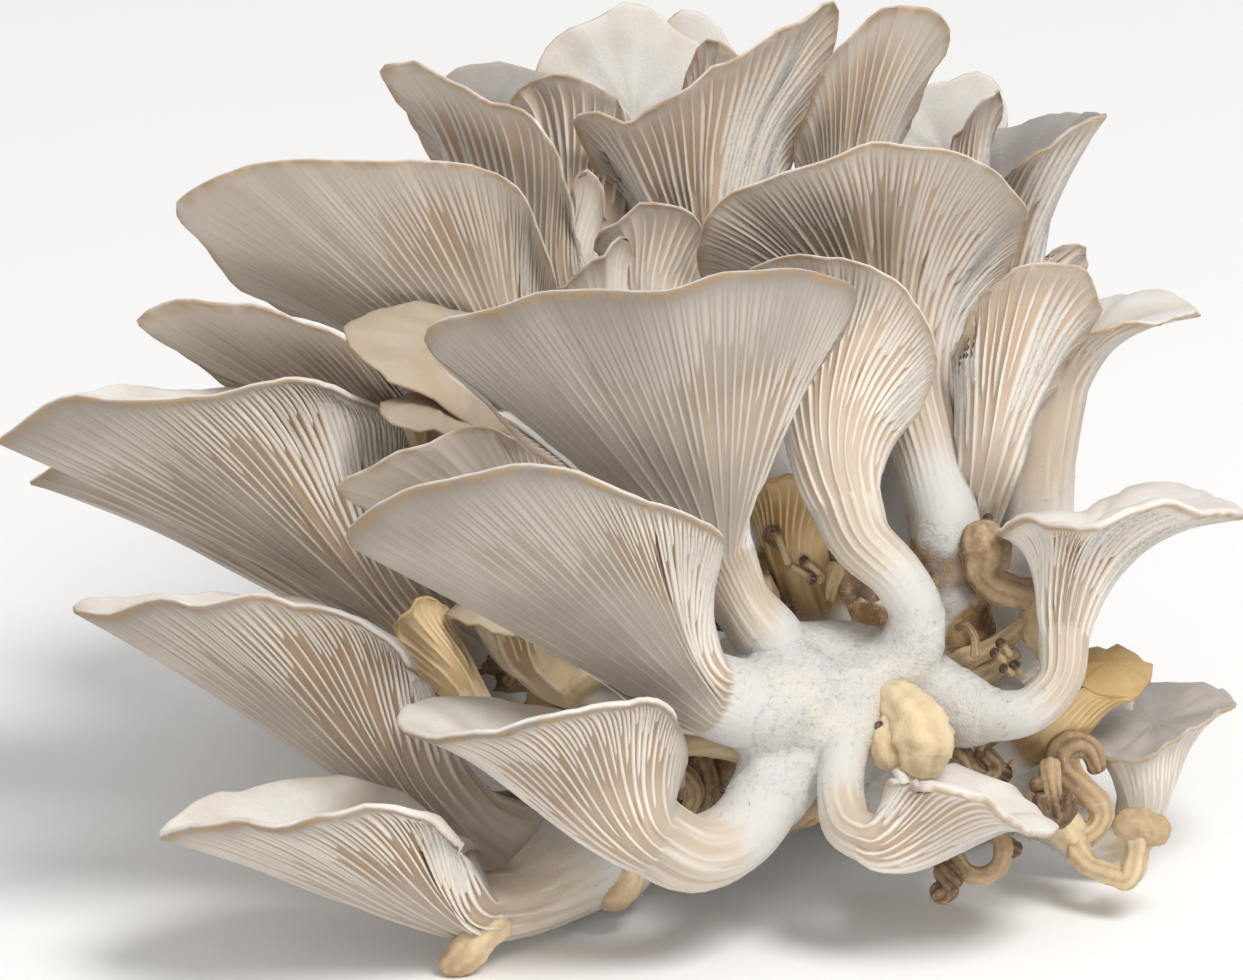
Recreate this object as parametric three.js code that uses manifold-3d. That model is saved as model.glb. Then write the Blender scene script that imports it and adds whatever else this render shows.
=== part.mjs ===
// Oyster mushroom cluster: about forty fruit bodies and a ring of stunted pins on one
// woolly white base, as broken from the log.  Millimetres, +Z up, standing on the broken butt.
//
// The fruit bodies are laid out in a growth frame that leans back by LEAN.  Every place in
// the lists below is [across, depth, height] in that frame, and a fourth number is a radius.
// Depth grows away from the side that shows the gills of the large front fans.

import * as THREE from "three";
import { mergeVertices } from "three/addons/utils/BufferGeometryUtils.js";
import Module from "manifold-3d";

const wasm = await Module();
wasm.setup();

// Driving dimensions, mm
const LEAN = THREE.MathUtils.degToRad(20);   // lean of the growth frame
const BUTT_HEIGHT = 11.2;                    // height of the break above the frame's origin
const CENTRE = [0.4, 57.1];                  // middle of the whole, across and deep
const GAP = 0.35;                            // clearance kept between two pieces
const OVERLAP = 0.001;                       // shared volume too small to matter, mm3
const RIM_EDGE = 1.3;                        // thickness of a cap at its margin
const SIDES = 12;                            // facets around a fruit body
const BASE_SIDES = 12;                       // facets around a limb of the base
const RIM_SAMPLES = 120;                     // fine steps round a rim, a multiple of four
const PIN_SIDES = 7;                         // facets around a pin

// Shape of a flow line from the neck to the margin, as shares of its length
const NECK_REACH = 0.42;                     // how far it keeps the stem's direction
const RIM_REACH = 0.36;                      // how far it keeps the margin's direction
const NECK_SPREAD = 0.2;                     // how much it leans out as it leaves the stem
const RIM_FLATTEN = 0.7;                     // how far the margin keeps to its own plane
const SQUARE_SHARE = 0.15;                   // 1 meets the margin square on, 0 runs from the neck

// Shares of a cap's reach between which its lines begin to run straight to the tip
const TONGUE_FROM = 0.5;
const TONGUE_TO = 0.9;

// Flesh at the neck and height of the well there, as shares of the neck's radius
const NECK_FLESH = 0.45;
const WELL_HEIGHT = 0.3;

// Places along a cap from neck (0) to margin (1) at which it has a ring of points
const UNDERSIDE_STEPS = [0.2, 0.5, 0.8, 1];
const TOPSIDE_STEPS = [1, 0.78, 0.42, 0.12];

// Share of the way from the middle of a filled cap to its margin
const DOME_STEPS = [1, 0.72, 0.38];

// Fruit bodies.  The stem runs from the base to the neck.  The rim is the closed line of
// the margin and starts where it passes closest to the stem, at the back of the fan.
// droop turns the margin down, tongue straightens the lines that run to the tip, and dome
// raises the middle of the upper face.
const FRUIT_BODIES = [
  {
    name: "centre_fan",
    stem: [[34, -6, 58, 8], [30, -12, 68, 7], [24, -18, 76, 6], [19, -22, 86, 7]],
    rim: [[18, -10, 96], [6, -22, 98], [-12, -37, 103], [-28, -45, 116.5], [-39, -48, 128],
      [-30, -56, 132], [-15, -62, 136], [4, -64, 137], [24, -60, 140], [37, -52, 141],
      [47, -40, 136], [40, -32, 123], [32, -24, 111], [26, -16, 100]],
    droop: 0.35,
    tongue: 1,
  },
  {
    name: "front_left_fan",
    stem: [[36, -14, 56, 10], [26, -22, 55, 9], [16, -30, 58, 8.5]],
    rim: [[14, -12, 66], [-3, -28, 69], [-24, -38, 79], [-40, -47, 82.5], [-54, -56, 87],
      [-49, -66, 93], [-38, -74, 98], [-25, -79, 101], [-12, -81, 101], [0, -78, 97],
      [10, -72, 93], [16, -66, 91], [21, -58, 87], [18, -44, 80], [16, -28, 73]],
    droop: 0.1,
    tongue: 0.95,
  },
  {
    name: "low_mid_fan",
    stem: [[36, -8, 49, 8], [30, -18, 38, 7.5], [23, -28, 29, 7.5], [14, -36, 26, 8],
      [6, -40, 30, 8.5]],
    rim: [[10, -26, 38], [-2, -18, 47], [-16, -18, 53], [-30, -24, 55], [-39, -34, 55],
      [-44, -46, 51], [-36, -60, 48], [-27, -67, 49], [-16, -71, 51], [-6, -70, 54],
      [3, -65, 55], [10, -57, 53], [13, -48, 47], [13, -38, 41]],
    droop: 0.4,
    tongue: 0.5,
  },
  {
    name: "bottom_left_fan",
    stem: [[-4, 0, 27, 12], [-12, -10, 21, 9.5], [-21, -20, 16, 7.5], [-29, -26, 15, 7.5]],
    rim: [[-29, -20, 26], [-38, -20, 32], [-47, -20, 37], [-58, -20, 39],
      [-72, -26, 38], [-83, -34, 35], [-91, -48, 29], [-79, -62, 31], [-67, -70, 30],
      [-59, -72, 33], [-51, -71, 34], [-43, -66, 33], [-37, -58, 31], [-33, -46, 27],
      [-29, -34, 25]],
    droop: 0.35,
    tongue: 0.8,
  },
  {
    name: "left_low_fan",
    stem: [[-6, 12, 26, 12], [-20, 6, 26, 10], [-30, 0, 31, 8.5], [-38, -5, 39, 9]],
    rim: [[-37, 6, 56], [-49, 6, 67], [-64, 0, 75], [-78, -8, 76], [-91, -14, 76],
      [-102, -22, 76], [-109, -32, 74], [-101, -40, 72], [-93, -46, 75], [-83, -48, 75],
      [-73, -48, 76], [-64, -47, 74], [-54, -43, 72], [-46, -36, 67], [-41, -28, 62],
      [-38, -14, 58]],
    droop: 0.3,
    tongue: 0.85,
  },
  {
    name: "left_fan",
    stem: [[0, 14, 52, 9], [-20, 14, 58, 8], [-36, 12, 68, 8], [-45, 8, 78, 8.5]],
    rim: [[-42, 22, 92], [-48, 20, 104], [-64, 12, 116], [-86, 2, 117], [-102, -6, 118],
      [-114, -16, 114], [-123.5, -30, 107], [-119, -38, 111], [-112, -42, 115],
      [-102, -44, 115], [-92, -44, 115], [-82, -42, 116], [-73, -37, 118], [-65, -31, 120],
      [-56, -20, 116], [-50, -12, 114], [-42, -4, 110], [-39, 8, 96]],
    droop: 0.25,
    tongue: 0.9,
  },
  {
    name: "right_low_cap",
    stem: [[62, 0, 55, 9], [73, -8, 53, 5.4], [82, -12, 54, 4.6], [88, -12, 60, 4.2],
      [89, -10, 70, 4.6]],
    rim: [[93, 18, 92], [85, 12, 92], [78, 2, 90], [76, -8, 89], [82, -18, 91],
      [88, -26, 90], [95, -31, 90], [102, -31, 93], [108, -28, 94], [114, -22, 93],
      [119, -14, 93], [124, 0, 92], [120, 14, 95], [114, 24, 97], [105, 28, 97],
      [98, 24, 95]],
    droop: 0.25,
  },
  {
    name: "centre_right_funnel",
    stem: [[52, -4, 60, 8], [58, -8, 66, 6], [59, -12, 74, 5.5], [55, -15, 81, 5.5],
      [48, -15, 88, 6], [45, -13, 96, 7]],
    rim: [[46, 4, 102], [34, 0, 108], [26, -4, 120], [23, -8, 134], [26, -14, 141],
      [33, -20, 144], [42, -24, 144], [50, -25, 142], [56, -24, 138], [61, -20, 131],
      [63, -14, 124], [61, -8, 116], [57, -2, 110], [52, 3, 104]],
    droop: 0.45,
  },
  {
    name: "right_large_fan",
    stem: [[66, 18, 64, 9], [66, 12, 76, 7.5], [65, 10, 92, 7], [62, 12, 105, 7],
      [59, 16, 115, 8]],
    rim: [[63, 34, 119], [46, 34, 125], [28, 26, 132], [18, 12, 139], [16, 0, 145],
      [17, -7, 151], [22, -11, 156], [30, -14, 160], [42, -17, 164], [52, -18, 166],
      [62, -15, 166], [70, -9, 164], [76, -1, 160], [81, 8, 154], [80, 16, 146],
      [74, 22, 136], [68, 26, 127]],
    droop: 0.2,
  },
  {
    name: "upper_left_large_fan",
    stem: [[16, 30, 76, 9], [0, 32, 96, 8], [-14, 28, 114, 8]],
    rim: [[-16, 38, 126], [-38, 34, 126], [-64, 26, 132], [-76, 20, 139], [-83, 13, 146],
      [-89, 6, 154], [-86, 0, 157], [-78, -6, 161], [-66, -10, 164], [-54, -13, 163],
      [-42, -14, 163], [-32, -13, 163], [-25, -9, 161], [-19, -3, 156], [-16, 4, 148],
      [-13, 12, 138], [-12, 24, 128]],
    droop: 0.2,
    tongue: 0.8,
  },
  {
    name: "upper_centre_fan",
    stem: [[40, 24, 68, 9], [32, 30, 104, 8], [21, 28, 136, 8]],
    rim: [[20, 44, 142], [8, 38, 147], [-2, 30, 156], [-6, 24, 164], [-9, 18, 172],
      [-4, 12, 173], [1, 10, 171], [7, 6, 174], [13, 3, 178], [18, 2, 182],
      [24, 2, 184], [30, 4, 188], [37, 8, 192], [43, 14, 195.5], [43, 20, 188],
      [40, 26, 178], [36, 30, 168], [32, 36, 156]],
    droop: 0.2,
  },
  {
    name: "upper_right_leaf",
    stem: [[50, 34, 68, 8], [50, 42, 104, 7], [47, 38, 142, 7]],
    rim: [[49, 52, 148], [39, 40, 156], [35, 30, 164], [37, 22, 172], [41, 14, 182],
      [48, 8, 190], [54, 5, 194], [60, 5, 194.5], [64, 9, 193], [66, 15, 188],
      [62, 22, 180], [59, 28, 173], [55, 34, 165], [52, 44, 154]],
    droop: 0.15,
  },
  {
    name: "upper_mid_left_fan",
    stem: [[24, 28, 84, 9], [8, 31, 110, 8], [-7, 27, 131, 7.5]],
    rim: [[-9, 36, 142], [-26, 38, 152], [-37, 32, 162], [-43, 23, 174], [-48, 13, 182],
      [-42, 8, 183], [-36, 4, 180], [-28, 0, 177], [-20, -2, 173], [-15, -1, 168],
      [-12, 3, 162], [-10, 9, 154], [-8, 18, 145]],
    droop: 0.15,
  },
  {
    name: "right_fan",
    stem: [[66, 34, 68, 7], [68, 28, 80, 6], [71, 20, 92, 5.5], [73, 12, 102, 6.5]],
    rim: [[76, 20, 106], [70, 16, 112], [67, 10, 120], [67, 4, 126], [70, -2, 132],
      [74, -6, 138], [80, -9, 142], [86, -9, 143], [92, -6, 142], [95, 0, 138],
      [96, 7, 134], [93, 14, 128], [88, 18, 120], [82, 20, 112]],
    droop: 0.3,
  },
  {
    name: "bottom_right_cap",
    stem: [[46, -10, 58, 7], [45, -18, 48, 4.8], [44, -26, 38, 4.6], [46, -31, 31, 4.8],
      [50, -33, 29, 5]],
    rim: [[54, -24, 40], [57, -10, 42], [64, -4, 41], [73, -6, 39], [80, -10, 35],
      [86, -22, 29], [80, -38, 30], [72, -48, 35], [64, -50, 38], [57, -44, 39],
      [53, -35, 39]],
    droop: 0.5,
  },
  {
    name: "right_bottom_cap",
    stem: [[76, 24, 40, 7], [87, 22, 33, 6], [97, 20, 27, 5], [103, 17, 29, 4.6],
      [104.5, 15, 35, 5]],
    rim: [[97, 36, 57], [93, 28, 53.5], [94, 14, 48], [97, 7, 44], [101, 4, 42.8],
      [106, 3, 44.4], [113, 6, 49], [119, 12, 52], [123, 22, 55], [120.4, 32, 57.4],
      [113, 40, 58.8], [105, 40, 58.8]],
    droop: 0.1,
    dome: -1.5,
  },
  {
    name: "mid_left_small_fan",
    stem: [[20, 0, 58, 7], [4, -2, 70, 6.5], [-11, -8, 85, 6.5]],
    rim: [[-12, 6, 90], [-28, -4, 91], [-44, -16, 94], [-52, -24, 95], [-56, -30, 98],
      [-50, -35, 102], [-44, -38, 105], [-36, -38, 108], [-28, -34, 110], [-20, -25, 108],
      [-12, -14, 103], [-6, -6, 96]],
    droop: 0.25,
    tongue: 0.7,
  },
  {
    name: "small_beige_cap",
    stem: [[-4, 10, 76, 6], [-20, 6, 92, 5], [-34, -8, 106, 5]],
    rim: [[-26, -12, 109], [-30, -22, 109], [-36, -28, 109], [-42, -30, 110],
      [-46, -28, 112], [-48, -22, 114], [-44, -14, 116], [-36, -8, 116], [-28, -6, 112]],
    droop: 0.6,
    dome: 3,
  },
  {
    name: "beige_cap",
    stem: [[8, 20, 76, 8], [-8, 22, 96, 7], [-24, 18, 114, 7]],
    rim: [[-16, 4, 108], [-24, -12, 109], [-30, -20, 111], [-38, -25, 116],
      [-44, -25, 119], [-50, -22, 123], [-55, -12, 130], [-50, -6, 133], [-42, 0, 135],
      [-32, 6, 133], [-20, 14, 130], [-10, 14, 122], [-10, 8, 112]],
    droop: 0.5,
    dome: 6,
  },
  {
    name: "upper_left_small_fan",
    stem: [[-4, 30, 68, 8], [-18, 29, 86, 7], [-31, 23, 100, 7]],
    rim: [[-32, 36, 112], [-46, 28, 112], [-64, 18, 114], [-78, 10, 119], [-90, 2, 126],
      [-96, -6, 132], [-91, -10, 135], [-81, -14, 135], [-72, -16, 134], [-64, -17, 131],
      [-56, -16, 129], [-49, -12, 125], [-43, -4, 119], [-34, 10, 116]],
    droop: 0.15,
    tongue: 0.8,
  },
  {
    name: "left_back_fan",
    stem: [[-12, 34, 56, 8], [-26, 35, 62, 7.5], [-38, 33, 70, 7]],
    rim: [[-34, 36, 82], [-50, 44, 94], [-70, 46, 102], [-92, 42, 106], [-108, 32, 105],
      [-118, 20, 99], [-112, 10, 102], [-95, 6, 104], [-75, 10, 104], [-55, 16, 98],
      [-44, 22, 88]],
    droop: 0.2,
    tongue: 0.6,
  },
  {
    name: "small_leaning_fan",
    stem: [[32, 14, 80, 6], [16, 12, 104, 5.5], [1, 10, 126, 6]],
    rim: [[0, 20, 131], [-8, 12, 133], [-14, 4, 136], [-10, 0, 139], [-6, -3, 143],
      [-2, -3, 146], [1, 0, 148], [2.5, 6, 144], [2, 12, 136]],
    droop: 0.2,
  },
  {
    name: "small_orange_fan",
    stem: [[36, 20, 84, 6], [24, 18, 108, 5.5], [10, 12, 130, 6]],
    rim: [[8, 24, 136], [0, 18, 140], [-4, 12, 145], [-5, 6, 147], [-3, 2, 150],
      [1, 0, 152], [5, -2, 155], [11, -2, 154], [15.5, 2, 152], [17, 8, 146],
      [17, 14, 138]],
    droop: 0.25,
  },
  {
    name: "narrow_leaf",
    stem: [[28, 26, 84, 5], [12, 26, 112, 4.5], [-6, 22, 138, 4.5]],
    rim: [[-6, 30, 142], [-10, 24, 145], [-11, 18, 151], [-10, 13, 157], [-7, 11, 162],
      [-4, 12, 158], [-3, 15, 152], [-3, 20, 147]],
    droop: 0.1,
    dome: -1,
  },
  {
    name: "upper_small_fan",
    stem: [[24, 44, 92, 7], [10, 44, 120, 6], [-4, 34, 150, 6.5]],
    rim: [[-4, 46, 154], [-12, 42, 162], [-21, 38, 172], [-22, 34, 176], [-18, 30, 179],
      [-14, 27, 181], [-8, 24, 180], [-3, 23, 178], [1, 25, 172], [3, 32, 163]],
    droop: 0.15,
  },
  {
    name: "upper_back_sliver",
    stem: [[34, 52, 88, 7], [24, 52, 120, 6], [16, 46, 148, 6]],
    rim: [[17, 58, 152], [13, 54, 164], [12, 48, 176], [14, 43, 183], [16, 40, 187],
      [20, 38, 188], [25, 38, 184], [30, 42, 176], [26, 50, 162]],
    droop: 0.15,
  },
  {
    name: "right_upper_fan",
    stem: [[62, 42, 68, 8], [70, 44, 92, 7], [74, 44, 116, 7], [76, 40, 132, 7]],
    rim: [[74, 52, 142], [71, 42, 149], [71, 30, 156], [77, 20, 161], [83, 14, 165],
      [90, 13, 169], [97, 22, 173], [94, 38, 173], [87, 50, 173], [79, 58, 171],
      [74, 62, 168], [74, 64, 157], [77, 60, 148]],
    droop: 0.1,
  },
  {
    name: "right_back_cap",
    stem: [[78, 34, 68, 8], [83, 30, 84, 7.5], [84, 28, 104, 7], [86, 29, 119, 7.5]],
    rim: [[86, 42, 127], [89, 47, 131.5], [94, 50, 135], [102, 50, 137], [109, 46, 137],
      [114, 38, 135.4], [116, 28, 133], [113, 19, 132.6], [107, 13, 131.6], [100, 12, 130],
      [93, 14, 128.6], [87, 20, 126.4]],
    droop: 0.3,
  },
  {
    name: "far_right_cap",
    stem: [[74, 48, 68, 7], [79, 48, 88, 7], [80, 46, 108, 6.5], [83, 46, 126, 6.5]],
    rim: [[83, 56, 134], [82, 54, 142], [86, 52, 145], [89, 51, 147], [93, 52, 147],
      [94, 58, 144], [93, 68, 139], [89, 74, 133], [84, 68, 129]],
    droop: 0.3,
    dome: 1,
  },
  {
    name: "top_right_leaf",
    stem: [[57, 56, 84, 6], [63, 56, 120, 5.5], [68, 50, 150, 5.5]],
    rim: [[69, 58, 154], [65, 52, 160], [66, 46, 166], [70, 42, 172], [73, 40, 176],
      [76, 42, 178], [77, 46, 175], [75, 52, 168], [73, 58, 160]],
    droop: 0.1,
  },
  {
    name: "grey_back_cap",
    stem: [[28, 60, 84, 9], [4, 70, 118, 8], [-10, 72, 142, 8]],
    rim: [[-10, 60, 150], [-24, 60, 152], [-32, 60, 163], [-37, 60, 174], [-34, 59, 182],
      [-26, 57, 184], [-18, 55, 182], [-6, 52, 180], [2, 50, 172], [4, 52, 160]],
    droop: 0.1,
    dome: -2,
  },
  {
    name: "top_back_cap",
    stem: [[36, 66, 88, 9], [20, 76, 120, 8], [6, 80, 146, 8]],
    rim: [[6, 66, 152], [-12, 64, 160], [-18, 62, 174], [-15, 62, 186.5], [-9, 62, 191],
      [-4, 62, 193.5], [1, 62, 196], [6, 63, 194.5], [12, 63, 190], [18, 64, 185.5],
      [23, 66, 174], [20, 68, 160]],
    droop: 0.1,
    dome: -2,
  },
  {
    name: "top_back_sliver",
    stem: [[40, 76, 88, 8], [28, 88, 130, 7], [17, 92, 150, 7]],
    rim: [[17, 80, 154], [8, 80, 162], [6, 80, 176], [8, 79, 189], [11, 79, 194],
      [16, 79, 194], [20, 80, 191.5], [23, 81, 186], [30, 84, 172], [26, 84, 160]],
    droop: 0.1,
    dome: -2,
  },
  {
    name: "top_right_back_cap",
    stem: [[54, 66, 86, 8], [58, 76, 120, 7], [62, 78, 142, 7]],
    rim: [[62, 64, 150], [52, 60, 158], [54, 58, 168], [57.5, 57, 176], [61, 57, 178.5],
      [66, 57, 180.5], [71, 58, 182], [75, 59, 180.5], [78, 61, 174], [74, 64, 160]],
    droop: 0.1,
    dome: -2,
  },
  {
    name: "inner_yellow_fan",
    stem: [[44, 10, 60, 7], [40, 8, 72, 6], [36, 6, 84, 6]],
    rim: [[38, 16, 90], [28, 12, 92], [25, 4, 96], [28, -2, 100], [36, -4, 100],
      [44, 0, 98], [46, 6, 92]],
    droop: 0.2,
  },
  {
    name: "small_round_cap",
    stem: [[16, 10, 52, 6], [2, 4, 56, 5], [-12, -3, 60, 5], [-17, -6, 64, 4.6]],
    rim: [[-10, -6, 71], [-18, -16, 69], [-27, -20, 70], [-34, -14, 73], [-30, -4, 75],
      [-20, 2, 76], [-12, 0, 74]],
    droop: 0.6,
    dome: 5.5,
  },
  {
    name: "small_yellow_fan",
    stem: [[-20, 2, 44, 4.5], [-28, -4, 52, 4.5], [-33, -8, 60, 5]],
    rim: [[-32, 2, 64], [-33, -6, 71], [-36, -14, 75.5], [-40, -18, 76], [-44, -16, 71],
      [-44, -10, 64], [-41, -2, 57], [-36, 2, 56]],
    droop: 0.3,
  },
  {
    name: "right_ochre_fan",
    stem: [[70, 16, 44, 7], [80, 12, 48, 6.5], [85, 10, 51, 6.5]],
    rim: [[92, 18, 65], [100, 18, 66], [106, 14, 62], [104, 6, 57], [97, 3, 56],
      [90, 4, 60]],
    dome: 2,
    droop: 0.2,
  },
];

// Fans on the far side: an even fan of one length and width, spread from the neck
const BACK_FANS = [
  {
    name: "back_low_left_fan",
    stem: [[20, 55, 52, 11], [0, 76, 48.6, 9], [-14, 88, 55, 9]],
    outward: [-0.7, 0.7, 0.15],
    upward: [0.3, -0.5, 0.8],
    length: 66,
    width: 74,
  },
  {
    name: "back_low_mid_fan",
    stem: [[38, 60, 52, 11], [36, 82, 56, 9], [34, 94, 62, 9]],
    outward: [-0.05, 0.95, 0.3],
    upward: [0, -0.4, 0.9],
    length: 60,
    width: 76,
  },
  {
    name: "back_low_right_fan",
    stem: [[58, 55, 48, 11], [64, 74, 44, 9], [66, 84, 48, 8]],
    outward: [0.12, 0.95, 0.15],
    upward: [-0.1, -0.4, 0.9],
    length: 54,
    width: 54,
  },
  {
    name: "back_left_fan",
    stem: [[8, 52, 72, 10], [-20, 66, 82, 8.5], [-34, 72, 92, 8.5]],
    outward: [-0.8, 0.4, 0.1],
    upward: [0.45, -0.5, 0.75],
    length: 60,
    width: 66,
  },
  {
    name: "back_mid_fan",
    stem: [[36, 60, 80, 10], [24, 84, 100, 9], [16, 92, 114, 9]],
    outward: [-0.2, 0.7, 0.7],
    upward: [0.1, -0.75, 0.65],
    length: 58,
    width: 78,
  },
  {
    name: "back_right_fan",
    stem: [[62, 58, 76, 10], [66, 72, 92, 8.5], [67, 76, 102, 8.5]],
    outward: [0.12, 0.7, 0.6],
    upward: [-0.1, -0.65, 0.75],
    length: 50,
    width: 48,
  },
];
const BACK_FAN_POINTS = 11;

// Stunted pins and dried pieces, each of one or more swelling lines that run together:
// [across, depth, height, radius] from the root to the tip
const PINS = [
  {
    name: "dark_pin",
    lines: [[[-20, 8, 35, 2.6], [-26, 4, 36, 2], [-30, 1, 37, 3.4], [-31.5, 0, 38, 2.4]]],
  },
  {
    name: "hook_pin",
    lines: [[[3, -9, 24, 2.4], [2, -10, 19.5, 3], [-1, -10, 16.5, 3.2], [-4, -9, 17, 2]]],
  },
  {
    name: "stub_pin",
    lines: [[[-25, -27, 12, 4], [-29, -29, 8, 4], [-32, -30, 4.5, 4], [-34, -30, 3.2, 2.6]]],
  },
  {
    name: "pale_knob_pair",
    lines: [
      [[-14, 14, 58, 3], [-20, 8, 64, 4.6], [-20, 8, 70, 4.2]],
      [[-16, 12, 57, 2.6], [-25, 9, 64, 2.2], [-27, 10, 71, 2.6]],
    ],
  },
  {
    name: "orange_pin",
    lines: [[[-10, -13, 57, 2], [-5, -15, 61, 2.6], [0, -14, 61.5, 2]]],
  },
  {
    name: "dried_cluster",
    lines: [
      [[44, 2, 42, 4], [39, -1, 42, 5], [38, -3, 37, 5], [35, -4, 34, 4], [31, -5, 31, 2.4],
        [28.6, -5.4, 28.6, 2.6], [26.8, -5.6, 29.4, 2]],
      [[44, 2, 38, 4], [40, -3, 36, 4.4]],
      [[41, -4, 41, 1.7], [40.8, -7, 44.5, 2], [41, -8, 47.2, 2]],
      [[37, -6, 39.5, 2.4], [34.6, -9, 39, 2.4], [32.4, -10, 37, 2], [30.6, -11, 35.4, 1.5]],
    ],
  },
  {
    name: "folded_cap",
    lines: [
      [[54, -13, 57, 3.4], [58.6, -18, 53, 5.4], [60.6, -20, 48.4, 6.4], [60.4, -20, 44.6, 5.6]],
      [[55, -15, 52, 3.6], [53.4, -18, 47.6, 3.8], [54, -19, 44.4, 3.4]],
    ],
  },
  {
    name: "dried_curl",
    lines: [
      [[66, -2, 47, 2.4], [69, -5, 44, 2], [71, -6, 41, 1.8], [73.6, -6, 40, 1.8]],
      [[73.6, -6, 40, 1.8], [75.4, -6, 42.4, 1.8], [73.4, -6, 45, 1.8]],
      [[74.6, -6, 43, 1.8], [77, -5, 41, 1.8]],
    ],
  },
  {
    name: "ring_curl",
    lines: [
      [[86, -4, 43, 2], [86, -6, 40, 2], [86.6, -7, 36, 1.8], [87, -7.4, 33, 1.8]],
      [[84, -7, 36.4, 1.6], [84.8, -7.5, 33, 1.8], [87, -7.5, 31.8, 1.8],
        [89.2, -7.4, 33.4, 1.8], [89.6, -7, 36.4, 1.6]],
      [[86, -6, 39, 1.6], [83, -6.5, 39.2, 1.7]],
    ],
  },
  {
    name: "curly_stem",
    lines: [
      [[95.4, 5, 42.6, 2], [94, 5, 46, 2.6], [91, 4, 47.4, 3], [88.4, 4, 45.5, 3.2],
        [88.6, 4, 42.5, 3.2], [91, 3.5, 39.5, 2.7], [94.5, 3, 36.5, 2.5],
        [96.4, 3, 33.5, 2.2], [95.2, 3, 30.2, 2], [91, 3, 28, 2.8]],
      [[84, 6, 36, 4], [86.5, 5, 33, 4], [89, 4, 30.5, 4.4], [92, 3, 27.5, 3.2]],
    ],
  },
  {
    name: "ochre_cap",
    lines: [
      [[91.5, 1, 25.6, 2.6], [94, -1, 22.8, 2.2], [98, -3, 21.2, 2.2], [101.5, -4, 20.6, 2.4],
        [103, -4.5, 24, 2.4], [103.6, -5.5, 29, 3]],
      [[100.6, -6, 30.8, 3], [104, -6, 31.2, 3.5], [107.8, -6, 29.6, 3]],
    ],
  },
  {
    name: "dangling_pins",
    lines: [
      [[60, -9, 33, 3.4], [63.2, -12, 27.5, 2.6], [65, -13, 22.6, 2]],
      [[64.8, -14, 22, 2.5], [66.2, -14, 19.8, 2.6]],
      [[66, -14, 18.8, 2], [63.8, -14, 17.4, 2.5]],
      [[62, -8, 31, 3], [66.4, -8, 28, 2], [66.8, -8, 25, 1.9], [69, -8, 21.8, 1.9],
        [72.4, -8, 20.8, 1.9], [75.6, -8, 22.6, 1.9], [76.6, -8, 26, 1.9],
        [75.4, -7, 29.4, 2], [70, -7, 30.4, 2]],
      [[76.8, -7, 27.6, 1.8], [79, -6, 26, 1.7]],
    ],
  },
  {
    name: "tan_lump",
    lines: [[[84, 8, 77, 3.6], [86, 5, 71, 6.2], [88, 4, 67, 5.6], [89, 4, 65, 3.6]]],
  },
  {
    name: "dried_small_cap",
    lines: [[[72, 2, 89, 4], [73, 2, 86, 5.4], [73, 2, 80.5, 3.6], [77, 3, 78, 3.2],
      [81, 5, 77, 3.4], [84, 8, 75, 2.6]]],
  },
];

// The woolly base: limbs that flow into one another and into the stems
const BASE_LIMBS = [
  [[66, 60, 30, 18], [58, 42, 46, 22], [46, 26, 60, 22]],
  [[48, 4, 60, 12], [34, -5, 60, 11.5], [24, -8, 60, 10]],
  [[46, 22, 62, 18], [28, 26, 80, 14], [16, 30, 98, 9]],
  [[52, 30, 64, 18], [56, 40, 84, 14], [58, 46, 100, 10]],
  [[56, 24, 60, 16], [68, 18, 56, 12], [78, 14, 50, 9]],
  [[44, 12, 52, 14], [20, 14, 42, 12], [0, 10, 34, 12], [-8, 6, 28, 11]],
  [[44, 20, 60, 14], [20, 18, 60, 11], [2, 16, 60, 9]],
  [[40, 40, 56, 16], [22, 56, 56, 12]],
  [[56, 44, 52, 16], [66, 58, 50, 12]],
];

const FLESH = {
  white: { color: 0xece7df, roughness: 0.75, metalness: 0 },
  beige: { color: 0xd8c6a8, roughness: 0.7, metalness: 0 },
  grey: { color: 0xb9b4ab, roughness: 0.7, metalness: 0 },
  brown: { color: 0xa98757, roughness: 0.8, metalness: 0 },
  wool: { color: 0xf5f3ef, roughness: 0.95, metalness: 0 },
};
const BEIGE_NAMES = ["beige_cap", "small_beige_cap", "small_round_cap", "small_yellow_fan",
  "inner_yellow_fan", "small_orange_fan"];
const GREY_NAMES = ["grey_back_cap", "right_bottom_cap", "right_upper_fan"];

const vector = ([x, y, z]) => new THREE.Vector3(x, y, z);

// A centre line with its radius at any place along it, 0 to 1
function centreLine(line) {
  const curve = new THREE.CatmullRomCurve3(line.map(vector), false, "centripetal");
  const radius = (t) => {
    const place = t * (line.length - 1);
    const first = Math.min(Math.floor(place), line.length - 2);
    return THREE.MathUtils.lerp(line[first][3], line[first + 1][3], place - first);
  };
  return { curve, radius };
}

// A direction carried backwards along a curve without twisting about it
function carriedBack(curve, steps, direction) {
  const carried = [];
  let tangent = curve.getTangent(1);
  let side = direction.clone();
  for (let i = steps; i >= 0; i -= 1) {
    const next = curve.getTangent(i / steps);
    const turn = new THREE.Quaternion().setFromUnitVectors(tangent, next);
    side = side.clone().applyQuaternion(turn);
    carried[i] = side;
    tangent = next;
  }
  return carried;
}

function circle(centre, first, second, radius, sides) {
  const ring = [];
  for (let i = 0; i < sides; i += 1) {
    const angle = (2 * Math.PI * i) / sides;
    ring.push(centre.clone()
      .addScaledVector(first, radius * Math.cos(angle))
      .addScaledVector(second, radius * Math.sin(angle)));
  }
  return ring;
}

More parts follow.
